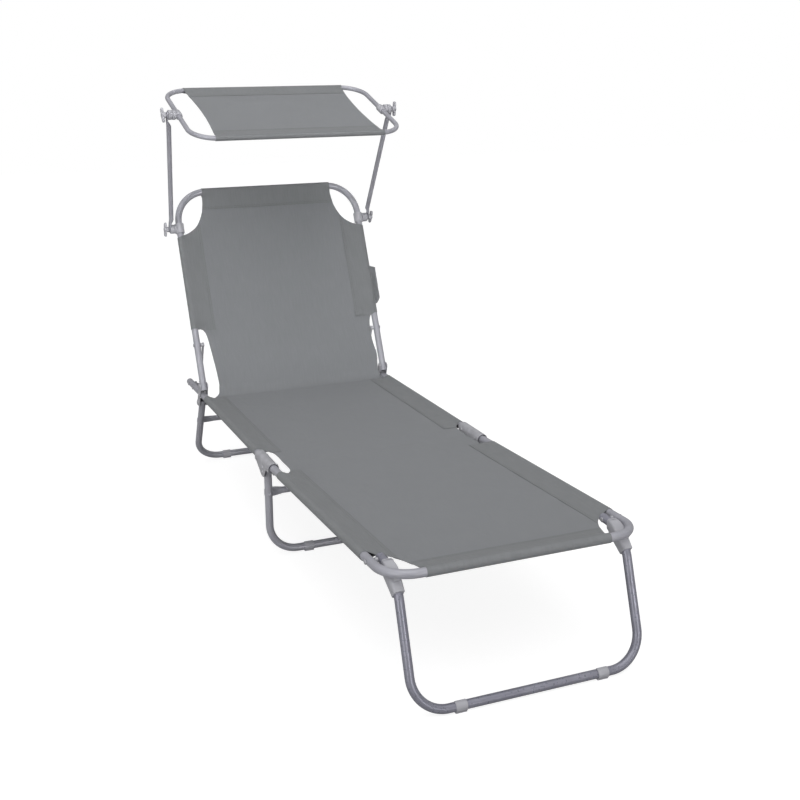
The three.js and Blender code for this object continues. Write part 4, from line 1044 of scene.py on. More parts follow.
def knob_shape(x, v, angle):
    """A wing to grip: a waisted bar with round ends across a round hub."""
    hub = knob_start(x)
    wing = hub + KNOB_HUB_LENGTH
    end = wing + KNOB_THICKNESS
    body = lathe([
        (hub, 0.0036), (hub, KNOB_HUB - 0.0008), (hub + 0.0008, KNOB_HUB), (wing + 0.001, KNOB_HUB - 0.0004),
        (end - 0.0016, KNOB_HUB - 0.0008), (end - 0.0005, KNOB_HUB - 0.0016), (end, KNOB_HUB - 0.0034),
        (end, 0.0),
    ], v, 0, 40)
    rings = []
    turn = Matrix.Rotation(angle, 3, "X")
    for place, inset in ((wing, 0.0012), (wing + 0.0005, 0.0004), (wing + 0.0014, 0.0), (end - 0.0036, 0.0),
                         (end - 0.0022, 0.0004), (end - 0.0012, 0.0012), (end - 0.0006, 0.0024)):
        ring = []
        for c, s in circle(1, 56):
            reach = (KNOB_REACH - inset) * math.copysign(abs(c) ** 0.8, c)
            waist = 0.78 + 0.22 * ease(abs(reach) / (KNOB_REACH * 0.72))
            wide = (KNOB_HALF_WIDTH * waist - inset) * math.copysign(abs(s) ** 0.62, s)
            ring.append(turn @ Vector((place, reach, wide)) + Vector((0, v, 0)))
        rings.append(ring)
    return merged(body, loft(rings))


for word, side in SIDES:
    plastic(f"clamp_low_{word}", on_side(clamp_shape(HALF_SPAN, TUBE_RADIUS, ARM_ALONG), side), BACKREST,
            "backrest", f"lower_clamp_{word}")
    lean = math.radians(90 + KNOB_LEANS["low", side]) - BACKREST_SLOPE
    plastic(f"knob_low_{word}", on_side(knob_shape(HALF_SPAN, ARM_ALONG, lean), side), BACKREST,
            f"lower_knob_{word}", f"lower_knob_{word}")
    plastic(f"clamp_up_{word}", on_side(clamp_shape(CANOPY_HALF_SPAN, CANOPY_TUBE_RADIUS, 0), side),
            CANOPY, "canopy", f"upper_clamp_{word}")
    lean = math.radians(90 + KNOB_LEANS["up", side]) - CANOPY_SLOPE
    plastic(f"knob_up_{word}", on_side(knob_shape(CANOPY_HALF_SPAN, 0, lean), side), CANOPY,
            f"upper_knob_{word}", f"upper_knob_{word}")


# Cloth


class Curve:
    """A smooth run through points, read by its first value; flat past its ends."""

    def __init__(self, points):
        self.points = sorted(points)

    def __call__(self, t):
        points = self.points
        if t <= points[0][0]:
            return points[0][1]
        if t >= points[-1][0]:
            return points[-1][1]
        k = max(i for i, (a, _) in enumerate(points) if a <= t)
        (a, low), (b, high) = points[k], points[k + 1]

        def slope(i):
            if i <= 0 or i >= len(points) - 1:
                j = min(max(i, 0), len(points) - 2)
                return (points[j + 1][1] - points[j][1]) / (points[j + 1][0] - points[j][0])
            before = (points[i][1] - points[i - 1][1]) / (points[i][0] - points[i - 1][0])
            after = (points[i + 1][1] - points[i][1]) / (points[i + 1][0] - points[i][0])
            return 0.0 if before * after <= 0 else 2 * before * after / (before + after)

        width = b - a
        s = (t - a) / width
        return (low * (1 + 2 * s) * (1 - s) ** 2 + slope(k) * width * s * (1 - s) ** 2
                + high * s * s * (3 - 2 * s) + slope(k + 1) * width * s * s * (s - 1))


def ripple(x, v, size, seed):
    return noise.noise(Vector((x / size, v / size, seed)))


Row = namedtuple("Row", "place up half along calm aside", defaults=(0.0,))


def skin_faces(rows, columns):
    """Faces over a grid of points and over a second one behind it, and those that join their edges."""
    offset = rows * columns
    faces = []
    for r in range(rows - 1):
        for c in range(columns - 1):
            a, b = r * columns + c, (r + 1) * columns + c
            faces.append((a, a + 1, b + 1, b))
            faces.append((offset + a, offset + b, offset + b + 1, offset + a + 1))
    for r in range(rows - 1):
        for c in (0, columns - 1):
            a, b = r * columns + c, (r + 1) * columns + c
            faces.append((a, b, offset + b, offset + a))
    for r in (0, rows - 1):
        for c in range(columns - 1):
            a = r * columns + c
            faces.append((a, a + 1, offset + a + 1, offset + a))
    return faces


def sheet_shape(rows):
    """A cloth sheet, with a thicker hem along its edges, from rows of what Row names.

    A row's calm says how much of the sag and of the small waves shows there.
    """
    top, bottom, uv = [], [], []
    columns = SHEET_COLUMNS
    for place, lift, half, v, calm, aside in rows:
        for c in range(columns + 1):
            share = 2 * c / columns - 1
            share = math.copysign(abs(share) ** 0.85, share)
            x = half * share
            edge = half - abs(x)
            sag = -SAG * (1 - share * share) * calm
            wave = 0.0006 * ripple(x, v, 0.09, 3.1) * calm
            wave += 0.0003 * ripple(x, v, 0.025, 7.7) * calm
            hem = 0.0003 * ease((0.009 - edge) / 0.0015)
            centre = Vector((x + aside, *place)) + Vector((0, *lift)) * (sag + wave)
            thick = Vector((0, *lift)) * (CLOTH / 2 + hem)
            top.append(centre + thick)
            bottom.append(centre - thick)
            uv.append((x, v))
    return (top + bottom, skin_faces(len(rows), columns + 1)), uv + uv


def line_rows(place, start, end, half_at, calm_at, v_shift=0.0, aside_at=lambda v: 0.0):
    """Rows of a sheet that lies flat in a section, from one place along it to another."""
    count = max(2, math.ceil(abs(end - start) / SHEET_STEP))
    up = place.to_3x3() @ Vector((0, 0, 1))
    rows = []
    for i in range(count + 1):
        v = start + (end - start) * i / count
        at = place @ Vector((0, v, 0))
        rows.append(Row((at.y, at.z), (up.y, up.z), half_at(v), v + v_shift, calm_at(v), aside_at(v)))
    return rows


# How far a sleeve's layers lie from the middle plane where they are sewn together
LAYER_LIFT = CLOTH / 2 + SEAM_LIFT / 2


def cloth_radius(radius):
    """The radius of the cloth's middle layer round a tube."""
    return radius + CLOTH_CLEARANCE + CLOTH / 2


def sleeve_section(radius, seam):
    """Points round a sleeve, from its upper flange over the tube to its lower flange."""
    steps = 30
    outer = cloth_radius(radius)
    lift = LAYER_LIFT
    open_angle = math.acos(outer / seam)
    upper = [(seam + FLANGE, lift), (seam + FLANGE * 0.5, lift), (seam, lift)]
    touch = (outer * math.cos(open_angle), outer * math.sin(open_angle))
    runs = 7
    for i in range(1, runs):
        share = i / runs
        drop = 0.0008 * math.sin(math.pi * share)
        upper.append((seam + (touch[0] - seam) * share, lift + (touch[1] - lift) * share - drop))
    around = [(outer * math.cos(a), outer * math.sin(a))
              for a in (open_angle + (2 * math.pi - 2 * open_angle) * i / steps for i in range(steps + 1))]
    lower = [(x, -y) for x, y in reversed(upper)]
    return upper + around + lower


def shell(points_grid, uv_grid, thickness):
    """A thin closed skin over a grid of points, thickened both ways."""
    rows, columns = len(points_grid), len(points_grid[0])
    normals = []
    for r in range(rows):
        for c in range(columns):
            along_way = points_grid[min(r + 1, rows - 1)][c] - points_grid[max(r - 1, 0)][c]
            across_way = points_grid[r][min(c + 1, columns - 1)] - points_grid[r][max(c - 1, 0)]
            normals.append(along_way.cross(across_way).normalized())
    flat = [p for row in points_grid for p in row]
    top = [p + n * thickness / 2 for p, n in zip(flat, normals)]
    bottom = [p - n * thickness / 2 for p, n in zip(flat, normals)]
    uv = [p for row in uv_grid for p in row]
    return (top + bottom, skin_faces(rows, columns)), uv + uv


def lower_share(x, n, seam):
    """How far a place on a sleeve's lower layer lies from the tube toward the seam, as a share."""
    return ease((x - TUBE_RADIUS) / (seam - TUBE_RADIUS)) if n < 0 and x > 0 else 0.0


def drawn_in(x, n, radius, seam, from_end):
    """A sleeve's height at a place across it; near its ends the layers close up nearer to the tube."""
    outer = cloth_radius(radius)
    touch_x, touch_n = outer * outer / seam, outer * math.sqrt(1 - (outer / seam) ** 2)
    if x <= touch_x:
        return n
    tight = 1 - ease(from_end / DRAWN_REACH)
    joined = seam - (seam - DRAWN_SEAM) * tight
    height = LAYER_LIFT + (touch_n - LAYER_LIFT) * max(0.0, (joined - x) / (joined - touch_x))
    return math.copysign(height + (abs(n) - height) * (1 - tight), n)


def crumple(depth, x, seam, a, b, seed):
    """Small waves in a sleeve's loose layers; none round the tube and none along the seam."""
    free = ease((x - 0.004) / 0.01) * ease((seam - x) / 0.01)
    return depth * free * (ripple(a, b, 0.03, seed) + 0.6 * ripple(a, b, 0.012, seed + 5))


def side_sleeve(seam, start_at, end_at, seed):
    """A sleeve on the right rail; its ends are cut to places along that depend on x."""
    outline = sleeve_section(TUBE_RADIUS, seam)
    travelled = [0.0]
    for (x0, y0), (x1, y1) in zip(outline, outline[1:]):
        travelled.append(travelled[-1] + math.hypot(x1 - x0, y1 - y0))
    longest = max(end_at(HALF_SPAN - x) - start_at(HALF_SPAN - x) for x, _ in outline)
    count = math.ceil(longest / SLEEVE_STEP)
    grid, uv = [], []
    for r in range(count + 1):
        share = r / count
        row, uv_row = [], []
        for (x, n), distance in zip(outline, travelled):
            across = HALF_SPAN - x
            recess = LOWER_RECESS * lower_share(x, n, seam)
            start, end = start_at(across) + recess, end_at(across) - recess
            v = start + (end - start) * share
            soft = crumple(0.0007, x, seam, across, v, seed)
            height = drawn_in(x, n, TUBE_RADIUS, seam, min(v - start, end - v))
            row.append(Vector((across, v, height + math.copysign(soft, n))))
            uv_row.append((across + (distance if n < 0 else 0), v))
        grid.append(row)
        uv.append(uv_row)
    return shell(grid, uv, CLOTH)


def cross_sleeve(radius, seam, half_at, v_tube, facing, seed):
    """A sleeve on a tube across the section, with its seam on the side that facing gives."""
    outline = sleeve_section(radius, seam)
    count = math.ceil(2 * half_at(0) / SLEEVE_STEP)
    grid, uv = [], []
    for r in range(count + 1):
        share = 2 * r / count - 1
        row, uv_row = [], []
        for x, n in outline:
            across = (half_at(x) - LOWER_RECESS * lower_share(x, n, seam)) * share
            soft = crumple(0.0006, x, seam, across, x, seed)
            height = drawn_in(x, n, radius, seam, half_at(x) - abs(across))
            row.append(Vector((across, v_tube + facing * x, height + math.copysign(soft, n))))
            uv_row.append((across, v_tube + facing * (x if n >= 0 else x + 0.5)))
        grid.append(row)
        uv.append(uv_row)
    return shell(grid, uv, CLOTH)


def stitch_row(points, normal):
    """Short thread stitches laid along a line of points."""
    shapes = []
    for start, end in zip(points, points[1:]):
        way = (end - start)
        length = way.length
        if length < 1e-6:
            continue
        way.normalize()
        count = max(1, round(length / STITCH_PITCH))
        side = normal.cross(way).normalized()
        for k in range(count):
            centre = start + way * length * (k + 0.5) / count
            corners = [
                centre - way * STITCH_LENGTH / 2, centre + way * STITCH_LENGTH / 2,
                centre + side * STITCH_HALF_WIDTH, centre - side * STITCH_HALF_WIDTH,
                centre + normal * STITCH_HALF_WIDTH * 1.2, centre - normal * STITCH_HALF_WIDTH,
            ]
            faces = [(0, 2, 4), (2, 1, 4), (1, 3, 4), (3, 0, 4), (2, 0, 5), (1, 2, 5), (3, 1, 5), (0, 3, 5)]
            shapes.append((corners, faces))
    return merged(*shapes)


def seam_stitches(seam_line):
    """Two rows on each face of a flange; seam_line gives a row's ends for its distance inward."""
    shapes = []
    height = CLOTH + SEAM_LIFT / 2
    for inward in STITCH_ROWS:
        start, end = seam_line(inward)
        recess = (end - start).normalized() * LOWER_RECESS
        for facing, inset in ((1, Vector()), (-1, recess)):
            lift = Vector((0, 0, facing * height))
            shapes.append(stitch_row([start + lift + inset, end + lift - inset], Vector((0, 0, facing))))
    return merged(*shapes)


def cloth(name, shape_and_uv, place, body, replaces=(), material=FABRIC):
    shape, uv = shape_and_uv
    return piece(name, shape, place, body, material, "cloth", replaces, sharp=60, uv=uv)


def thread(name, shape, place, body):
    return piece(name, shape, place, body, THREAD, "cloth", sharp=30)


def flat_join(seam):
    """Half width of a sheet where a side sleeve's flange covers its edge."""
    return HALF_SPAN - seam - 0.001


# Cut edges of the cloth: places across at distances along each section
backrest_top_cut = [(0.199, 0.576), (0.2005, 0.55), (0.205, 0.52), (0.2145, 0.495), (0.23, 0.471),
                    (0.25, 0.4565), (0.271, 0.447), (0.285, 0.442), (0.292, 0.44)]
backrest_low_cut = [(0.2325, -0.01), (0.2329, 0.01), (0.2345, 0.035), (0.239, 0.08), (0.243, 0.115),
                    (0.2465, 0.14), (0.251, 0.155), (0.258, 0.163), (0.268, 0.1665), (0.292, 0.168)]
backrest_right_cut = [(0.2584, 0.118), (0.259, 0.129), (0.2603, 0.138), (0.2632, 0.151), (0.2684, 0.1595),
                      (0.277, 0.1645), (0.292, 0.1665)]
seat_rear_cut = [(0.2365, 0.5665), (0.238, 0.557), (0.2425, 0.549), (0.251, 0.5435), (0.264, 0.5395),
                 (0.292, 0.538)]
seat_front_cut = [(0.2435, -0.01), (0.2445, 0.008), (0.247, 0.0175), (0.2515, 0.0255), (0.2575, 0.0305),
                  (0.266, 0.033), (0.292, 0.034)]
foot_rear_cut = [(0.2435, 0.0), (0.244, -0.022), (0.2455, -0.037), (0.249, -0.05), (0.2545, -0.0605),
                 (0.2615, -0.0695), (0.2695, -0.0735), (0.292, -0.0725)]
foot_front_cut = [(0.203, -0.7344), (0.2055, -0.717), (0.2115, -0.692), (0.221, -0.665), (0.236, -0.64),
                  (0.2545, -0.6225), (0.272, -0.614), (0.292, -0.612)]


def width_curve(points):
    """The half width at each distance along, from points of a cut edge."""
    return Curve([(v, x) for x, v in points])


def across_at(points, limit):
    curve = width_curve(points)
    return lambda v: min(limit, curve(v))


# Over the hinge the sheet has no sleeves and is drawn a little to the right
HINGE_HALF = 0.2503
HINGE_ASIDE = 0.0068
MIDDLE_REACH = 0.028
SEAT_SLEEVE_REAR = 0.5385
side_limit = flat_join(SIDE_SEAM)
foot_front = across_at(foot_front_cut, side_limit)
foot_rear = width_curve(foot_rear_cut)
seat_front = width_curve(seat_front_cut)
crease_half = Curve([(SEAT_SLEEVE_REAR, 0.266), (0.5425, 0.258), (0.546, 0.2535), (0.5495, 0.2504),
                     (0.559, 0.2415), (0.568, 0.2372), (0.58, 0.2345), (0.594, 0.2325)])
crease_right = Curve([(SEAT_SLEEVE_REAR, 0.266), (0.545, 0.2655), (0.56, 0.263), (0.58, 0.262),
                      (0.594, 0.262)])


def crease_sides(v):
    """Half widths over the crease; the cloth hangs further out on the right."""
    return crease_half(v), crease_right(v)


def foot_half(v):
    if v < -0.60:
        return foot_front(v)
    if v < -0.0605:
        return side_limit
    return max(HINGE_HALF, foot_rear(v) + hinge_aside(v))


def hinge_aside(v):
    """How far to the right the sheet lies: most at the hinge, nothing under the sleeves."""
    return HINGE_ASIDE * (1 - ease((abs(v + 0.004) - 0.03) / 0.022))


def foot_calm(v):
    return ease((v + FOOT_LENGTH - END_SEAM) / 0.12) * (1 - 0.6 * ease((v + 0.12) / 0.12))


foot_rows = line_rows(FOOT, -FOOT_LENGTH + END_SEAM - SHEET_LAP, MIDDLE_REACH, foot_half, foot_calm,
                      aside_at=hinge_aside)


def seat_half(v):
    if v > SEAT_SLEEVE_REAR:
        return sum(crease_sides(v)) / 2
    if v > 0.0305:
        return side_limit
    return max(HINGE_HALF, seat_front(v) + hinge_aside(v))


def seat_aside(v):
    left, right = crease_sides(max(v, SEAT_SLEEVE_REAR))
    return (right - left) / 2


def seat_calm(v):
    return (0.4 + 0.6 * ease((v - 0.01) / 0.12)) * (1 - 0.7 * ease((v - 0.42) / 0.12))


# The sheet turns from the foot's slope to the seat's over the middle line, and is split there
MIDDLE_STEPS = 6
middle_up = MIDDLE.to_3x3() @ Vector((0, 0, 1))
foot_end = FOOT @ Vector((0, MIDDLE_REACH, 0))
seat_first = SEAT @ Vector((0, -MIDDLE_REACH, 0))
middle_rows = []
for i in range(1, MIDDLE_STEPS):
    share = i / MIDDLE_STEPS
    at = foot_end.lerp(seat_first, share)
    along_here = MIDDLE_REACH + 0.024 * share
    up = (middle_up.y, middle_up.z)
    middle_rows.append(Row((at.y, at.z), up, HINGE_HALF, along_here, 0.4, HINGE_ASIDE))
seam_row = middle_rows[2]
foot_rows += middle_rows[:3]
seat_shift = 0.08
seat_rows = [seam_row] + middle_rows[3:]
seat_rows += line_rows(SEAT, -MIDDLE_REACH, SPLIT_ALONG, seat_half, seat_calm, seat_shift,
                       aside_at=hinge_aside)

# The head sheet runs on from the seat, turns up at the crease and follows the backrest
CREASE_STEPS = 15
crease_drop = BACKREST_PIVOT_RISE / math.sin(BACKREST_SLOPE - SEAT_SLOPE)
crease_along = BACKREST_PIVOT_ALONG - crease_drop * math.cos(BACKREST_SLOPE - SEAT_SLOPE)
turn = BACKREST_SLOPE - SEAT_SLOPE
tangent = CREASE_RADIUS * math.tan(turn / 2)
head_rows = line_rows(SEAT, SPLIT_ALONG, crease_along - tangent, seat_half, seat_calm, seat_shift,
                      aside_at=seat_aside)
crease_centre = Vector((0, crease_along - tangent, CREASE_RADIUS))
distance = crease_along - tangent + seat_shift
for i in range(1, CREASE_STEPS):
    angle = turn * i / CREASE_STEPS
    local = crease_centre + CREASE_RADIUS * Vector((0, math.sin(angle), -math.cos(angle)))
    at = SEAT @ local
    up = SEAT.to_3x3() @ Vector((0, -math.sin(angle), math.cos(angle)))
    arc = CREASE_RADIUS * angle
    left, right = crease_sides(crease_along - tangent + arc)
    head_rows.append(Row((at.y, at.z), (up.y, up.z), (left + right) / 2, distance + arc, 0.3,
                         (right - left) / 2))
back_shift = distance + CREASE_RADIUS * turn - (tangent - crease_drop)
BACK_SLEEVE_LOW, BACK_SLEEVE_TOP = 0.162, 0.44
RIGHT_SLOT_MOST = 0.2668
backrest_limit = flat_join(BACKREST_SEAM)
back_low = width_curve(backrest_low_cut)
back_right_curve = Curve([(-0.01, 0.262), (0.012, 0.2638), (0.025, 0.2655), (0.041, 0.2664), (0.06, 0.263),
                          (0.08, 0.2598), (0.094, 0.2586)] + [(v, x) for x, v in backrest_right_cut])
back_top = across_at(backrest_top_cut, backrest_limit)


def back_sides(v):
    """Half widths on the backrest; the right slot is the narrower one."""
    if v > BACK_SLEEVE_TOP:
        return back_top(v), back_top(v)
    shown = 1 - ease((v - BACK_SLEEVE_LOW) / 0.02)
    low_v = min(v, BACK_SLEEVE_LOW)
    lows = back_low(low_v), min(RIGHT_SLOT_MOST, back_right_curve(low_v))
    return [backrest_limit + (low - backrest_limit) * shown for low in lows]


def back_half(v):
    return sum(back_sides(v)) / 2


def back_aside(v):
    left, right = back_sides(v)
    return (right - left) / 2


def back_calm(v):
    return 0.3 + 0.7 * ease((v - 0.03) / 0.1) * (1 - ease((v - 0.42) / 0.1))


head_rows += line_rows(
    BACKREST, tangent - crease_drop, BACKREST_LENGTH - END_SEAM + SHEET_LAP, back_half, back_calm,
    back_shift, aside_at=back_aside,
)

IDENTITY = Matrix.Identity(4)
foot_sheet = cloth("foot_cloth", sheet_shape(foot_rows), IDENTITY, None)
seat_sheet = cloth("seat_cloth", sheet_shape(seat_rows), IDENTITY, None)
head_sheet = cloth("head_cloth", sheet_shape(head_rows), IDENTITY, None)

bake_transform(foot_sheet)
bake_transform(seat_sheet)
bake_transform(head_sheet)

# Sleeves
def limited(curve, low, high):
    return lambda x: min(high, max(low, curve(x)))


def beside_hinge(curve, side):
    """A cut by the hinge, where the right slot lies further out than the left one."""
    return lambda x: curve(x - (1 + side) * HINGE_ASIDE)


def foot_cuts(side):
    hinge_end = beside_hinge(Curve(foot_rear_cut), side)
    return limited(Curve(foot_front_cut), -0.66, 0), limited(hinge_end, -1, -0.05)


def seat_cuts(side):
    hinge_end = beside_hinge(Curve(seat_front_cut), side)
    return limited(hinge_end, 0.0175, 1), limited(Curve(seat_rear_cut), 0, 0.545)


def back_cuts(side):
    low = backrest_right_cut if side > 0 else backrest_low_cut
    return limited(Curve(low), 0.16, 1), limited(Curve(backrest_top_cut), 0, 0.48)


def side_seam(seam, start_at, end_at):
    """Where the stitches of a side sleeve run, for a distance inward from its seam."""
    edge_x = HALF_SPAN - seam
    start, end = start_at(edge_x + 0.004), end_at(edge_x + 0.004)

    def line(inward):
        return Vector((edge_x - inward, start, 0)), Vector((edge_x - inward, end, 0))

    return line


def end_sleeve(names, half_width, radius, seam, v_tube, facing, seed, place, body):
    """A sleeve on a tube across the section, and its stitches; half_width tells how wide the cloth is."""
    def half_at(inward):
        return half_width(v_tube + facing * max(0.0, inward))

    def line(inward):
        v = v_tube + facing * (seam + inward)
        half = half_at(seam + inward) - STITCH_INSET
        return Vector((-half, v, 0)), Vector((half, v, 0))

    shape = cross_sleeve(radius, seam, half_at, v_tube, facing, seed)
    # The sleeve takes the darker copy of the cloth, which is painted shade.
    made = cloth(names[0], shape, place, body, (), SHADED_SLEEVE_FABRIC)
    return [made, thread(names[1], seam_stitches(line), place, body)]


sleeves = {"foot": [], "seat": [], "backrest": []}
for word, side in SIDES:
    for label, place, body, seam, cuts, seed in (
        ("foot", FOOT, "foot", SIDE_SEAM, foot_cuts, 1.3),
        ("seat", SEAT, "seat", SIDE_SEAM, seat_cuts, 2.9),
        ("backrest", BACKREST, "backrest", BACKREST_SEAM, back_cuts, 4.1),
    ):
        start_at, end_at = cuts(side)
        shape, uv = side_sleeve(seam, start_at, end_at, seed + side)
        # The sleeve takes the darker copy of the cloth, which is painted shade.
        made = cloth(f"{label}_sleeve_{word}", (on_side(shape, side), uv), place, body, (), SHADED_SLEEVE_FABRIC)
        stitches = seam_stitches(side_seam(seam, start_at, end_at))
        rows = thread(f"{label}_stitches_{word}", on_side(stitches, side), place, body)
        sleeves[label] += [made, rows]

for label, place, body, v_tube, facing, half_cut, seed in (
    ("foot_end", FOOT, "foot", -FOOT_LENGTH, 1, foot_front_cut, 6.2),
    ("head_end", BACKREST, "backrest", BACKREST_LENGTH, -1, backrest_top_cut, 8.4),
):
    sleeves[body] += end_sleeve((f"{label}_sleeve", f"{label}_stitches"), width_curve(half_cut),
                                TUBE_RADIUS, END_SEAM, v_tube, facing, seed, place, body)

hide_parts("foot_sling")
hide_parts("seat_sling")
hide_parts("backrest_sling")


def flat_size(rows):
    """Width, length and area of a sheet before it was sewn, from its rows."""
    length = abs(rows[-1].along - rows[0].along)
    width = 2 * max(row.half for row in rows)
    area = sum(abs(b.along - a.along) * (a.half + b.half) for a, b in zip(rows, rows[1:]))
    return (width, length), area


for made, rows, on, label in (
    (foot_sheet, foot_rows, ["foot_frame"], "foot"),
    (seat_sheet, seat_rows, ["seat_rail_left", "seat_rail_right"], "seat"),
    (head_sheet, head_rows, ["backrest_frame", "seat_rail_left", "seat_rail_right"], "backrest"),
):
    flat, area = flat_size(rows)
    min(area, flat[0] * flat[1])
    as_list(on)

# Canopy cloth
CANOPY_HALF = 0.241
CANOPY_WAIST = 0.012
canopy_middle = (CANOPY_REAR - CANOPY_FRONT) / 2
canopy_reach = (CANOPY_REAR + CANOPY_FRONT) / 2


def canopy_half_at(v):
    share = min(1.0, abs(v - canopy_middle) / canopy_reach)
    return CANOPY_HALF - CANOPY_WAIST * (1 - share ** 2)


def canopy_calm(v):
    return 1 - ease((abs(v - canopy_middle) - 0.08) / 0.06)


canopy_rows = line_rows(CANOPY, -CANOPY_FRONT + CANOPY_SEAM - SHEET_LAP,
                        CANOPY_REAR - CANOPY_SEAM + SHEET_LAP, canopy_half_at, canopy_calm)
canopy_sheet = cloth("canopy_cloth", sheet_shape(canopy_rows), IDENTITY, "canopy", ["canopy_sling"])
canopy_pieces = []
for label, v_tube, facing, seed in (("front", -CANOPY_FRONT, 1, 10.5), ("rear", CANOPY_REAR, -1, 12.5)):
    canopy_pieces += end_sleeve((f"canopy_sleeve_{label}", f"canopy_stitches_{label}"), canopy_half_at,
                                CANOPY_TUBE_RADIUS, CANOPY_SEAM, v_tube, facing, seed, CANOPY, "canopy")
flat, area = flat_size(canopy_rows)
min(area, flat[0] * flat[1])

# Side pocket: an open bag that hangs behind the right sleeve
POCKET_START = 0.199
POCKET_HEIGHT = 0.113
POCKET_INSET = 0.0112
POCKET_WIDTH = 0.047
POCKET_DEPTH = 0.033
# The rim rises toward the sleeve by this much, up to this place across it (-1 to 1)
POCKET_RISE = 0.0055
POCKET_RISE_END = 0.12
pocket_front = -(TUBE_RADIUS + CLOTH_CLEARANCE + CLOTH + 0.0014)


def pocket_shape():
    wide_at = Curve([(0.0, 0.7), (0.06, 0.84), (0.16, 0.98), (0.3, 0.99), (0.75, 0.985), (1.0, 0.985)])
    deep_at = Curve([(0.0, 0.4), (0.05, 0.72), (0.16, 0.97), (0.35, 0.95), (0.75, 0.84), (1.0, 0.6)])
    inner_x = HALF_SPAN - POCKET_INSET
    levels = 34

    def ring(share, thickness):
        v = POCKET_START + thickness + share * (POCKET_HEIGHT - thickness)
        wide = POCKET_WIDTH * wide_at(share) - 2 * thickness
        deep = POCKET_DEPTH * deep_at(share) - 2 * thickness
        points = []
        for c, s in squashed(1, 1, 5.5, 48):
            crumple = 0.0009 * ripple(c * 2 + share * 3, s * 2, 0.7, 21.0) * (1 - 0.5 * share)
            x = inner_x + thickness + wide / 2 * (1 + c) + crumple
            n = pocket_front - thickness - deep / 2 * (1 - s) + crumple * (s < 0.5)
            out = min(1.0, (1 - c) / (1 - POCKET_RISE_END))
            rise = POCKET_RISE * share ** 6 * out ** 1.5
            points.append((x, v + rise + 0.001 * ripple(c, s, 0.8, 30.0) * share, n))
        return points

    shares = [1 - math.cos(math.pi / 2 * i / levels) for i in range(levels + 1)]
    rings = [ring(share, 0.0) for share in shares]
    rings += [ring(share, CLOTH * 1.3) for share in reversed(shares)]
    shape = loft(rings)
    return shape, [(p[0] + p[2], p[1]) for p in shape[0]]


cloth("pocket_bag", pocket_shape(), BACKREST, "backrest", ["side_pocket"])


# Floor, light and camera


FLOOR_GLOW = 0.86
FLOOR_SHADE = 0.3
FLOOR_BOUNCE = 0.43


def floor_material():
    """A pale floor that shows as white and keeps the object's soft shadow."""
    material = bpy.data.materials.new("pale_floor")
    material.use_nodes = True
    tree = material.node_tree
    tree.nodes.clear()
    output = tree.nodes.new("ShaderNodeOutputMaterial")
    seen = tree.nodes.new("ShaderNodeAddShader")
    glow = tree.nodes.new("ShaderNodeEmission")
    glow.inputs["Strength"].default_value = FLOOR_GLOW
    shade = tree.nodes.new("ShaderNodeBsdfDiffuse")
    shade.inputs["Color"].default_value = (FLOOR_SHADE, FLOOR_SHADE, FLOOR_SHADE, 1)
    bounce = tree.nodes.new("ShaderNodeBsdfDiffuse")
    bounce.inputs["Color"].default_value = (FLOOR_BOUNCE, FLOOR_BOUNCE, FLOOR_BOUNCE, 1)
    path = tree.nodes.new("ShaderNodeLightPath")
    choose = tree.nodes.new("ShaderNodeMixShader")
    white = tree.nodes.new("ShaderNodeMath")
    white.operation = "MAXIMUM"
    tree.links.new(glow.outputs[0], seen.inputs[0])
    tree.links.new(shade.outputs[0], seen.inputs[1])
    tree.links.new(path.outputs["Is Camera Ray"], white.inputs[0])
    tree.links.new(path.outputs["Is Transmission Ray"], white.inputs[1])
    tree.links.new(white.outputs[0], choose.inputs[0])
    tree.links.new(bounce.outputs[0], choose.inputs[1])
    tree.links.new(seen.outputs[0], choose.inputs[2])
    tree.links.new(choose.outputs[0], output.inputs["Surface"])
    return material


FLOOR_HALF = 9.0
floor_mesh = bpy.data.meshes.new("floor")
floor_mesh.from_pydata(
    [(sx * FLOOR_HALF, sy * FLOOR_HALF, 0) for sx, sy in ((-1, -1), (1, -1), (1, 1), (-1, 1))],
    [], [(0, 1, 2, 3)],
)
floor_mesh.materials.append(floor_material())
floor = bpy.data.objects.new("floor", floor_mesh)
bpy.context.scene.collection.objects.link(floor)

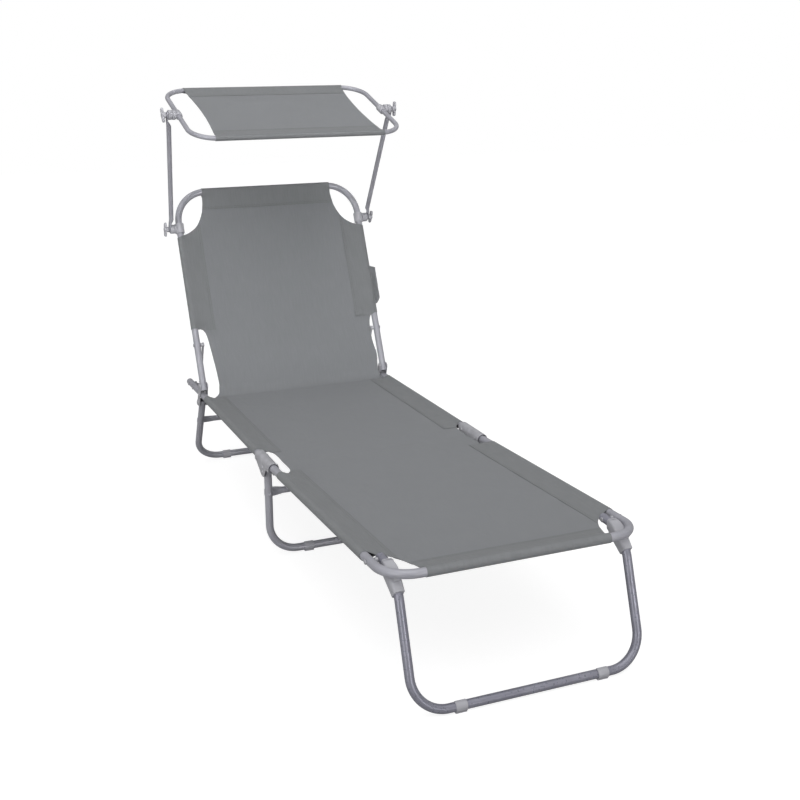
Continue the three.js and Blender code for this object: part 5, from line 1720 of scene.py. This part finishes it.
world = bpy.data.worlds.new("studio")
bpy.context.scene.world = world
world.use_nodes = True
tree = world.node_tree
background = tree.nodes["Background"]
background.inputs["Color"].default_value = (1, 1, 1, 1)
path = tree.nodes.new("ShaderNodeLightPath")
SKY_LOW, SKY_HIGH = 0.22, 0.64
where = tree.nodes.new("ShaderNodeTexCoord")
parts = tree.nodes.new("ShaderNodeSeparateXYZ")
sky = tree.nodes.new("ShaderNodeMapRange")
sky.inputs["From Min"].default_value = -0.2
sky.inputs["To Min"].default_value = SKY_LOW
sky.inputs["To Max"].default_value = SKY_HIGH
shown = tree.nodes.new("ShaderNodeMix")
shown.inputs["B"].default_value = 1.0
tree.links.new(where.outputs["Generated"], parts.inputs["Vector"])
tree.links.new(parts.outputs["Z"], sky.inputs["Value"])
tree.links.new(path.outputs["Is Camera Ray"], shown.inputs["Factor"])
tree.links.new(sky.outputs["Result"], shown.inputs["A"])
tree.links.new(shown.outputs["Result"], background.inputs["Strength"])


def lamp(name, place, aim, size, power, spread=180):
    data = bpy.data.lights.new(name, "AREA")
    data.shape = "SQUARE"
    data.size = size
    data.energy = power
    data.spread = math.radians(spread)
    made = bpy.data.objects.new(name, data)
    made.location = place
    made.rotation_euler = (Vector(aim) - Vector(place)).to_track_quat("-Z", "Y").to_euler()
    bpy.context.scene.collection.objects.link(made)
    return made


AIM = (0.0, 0.1, 0.45)
KEY_WAY = Vector((-0.15, -0.43, 0.89))
KEY_DISTANCE = 4.6
lamp("key_light", Vector(AIM) + KEY_WAY * KEY_DISTANCE, AIM, 5.0, 99)
lamp("left_light", (-3.3, -1.85, 0.92), (0, 0.6, 0.5), 2.6, 9, 60)
lamp("front_light", (0.9, -3.4, 1.0), (0, 0.85, 0.85), 1.6, 2.8, 30)

camera_data = bpy.data.cameras.new("camera")
camera_data.sensor_width = SENSOR_WIDTH
camera_data.lens = FOCAL_PIXELS / IMAGE_PIXELS * SENSOR_WIDTH
camera_data.clip_end = 60
camera = bpy.data.objects.new("camera", camera_data)
ahead = Vector((
    -math.sin(CAMERA_YAW) * math.cos(CAMERA_PITCH),
    math.cos(CAMERA_YAW) * math.cos(CAMERA_PITCH),
    math.sin(CAMERA_PITCH),
))
right = Vector((math.cos(CAMERA_YAW), math.sin(CAMERA_YAW), 0))
above = right.cross(ahead)
tilted_right = right * math.cos(CAMERA_ROLL) + above * math.sin(CAMERA_ROLL)
tilted_above = above * math.cos(CAMERA_ROLL) - right * math.sin(CAMERA_ROLL)
turned = Matrix((tilted_right, tilted_above, -ahead)).transposed().to_4x4()
camera.matrix_world = Matrix.Translation(JOINTS["mid_fold"] + CAMERA_FROM_HINGE) @ turned
bpy.context.scene.collection.objects.link(camera)
bpy.context.scene.camera = camera
bpy.context.scene.view_settings.view_transform = "Standard"
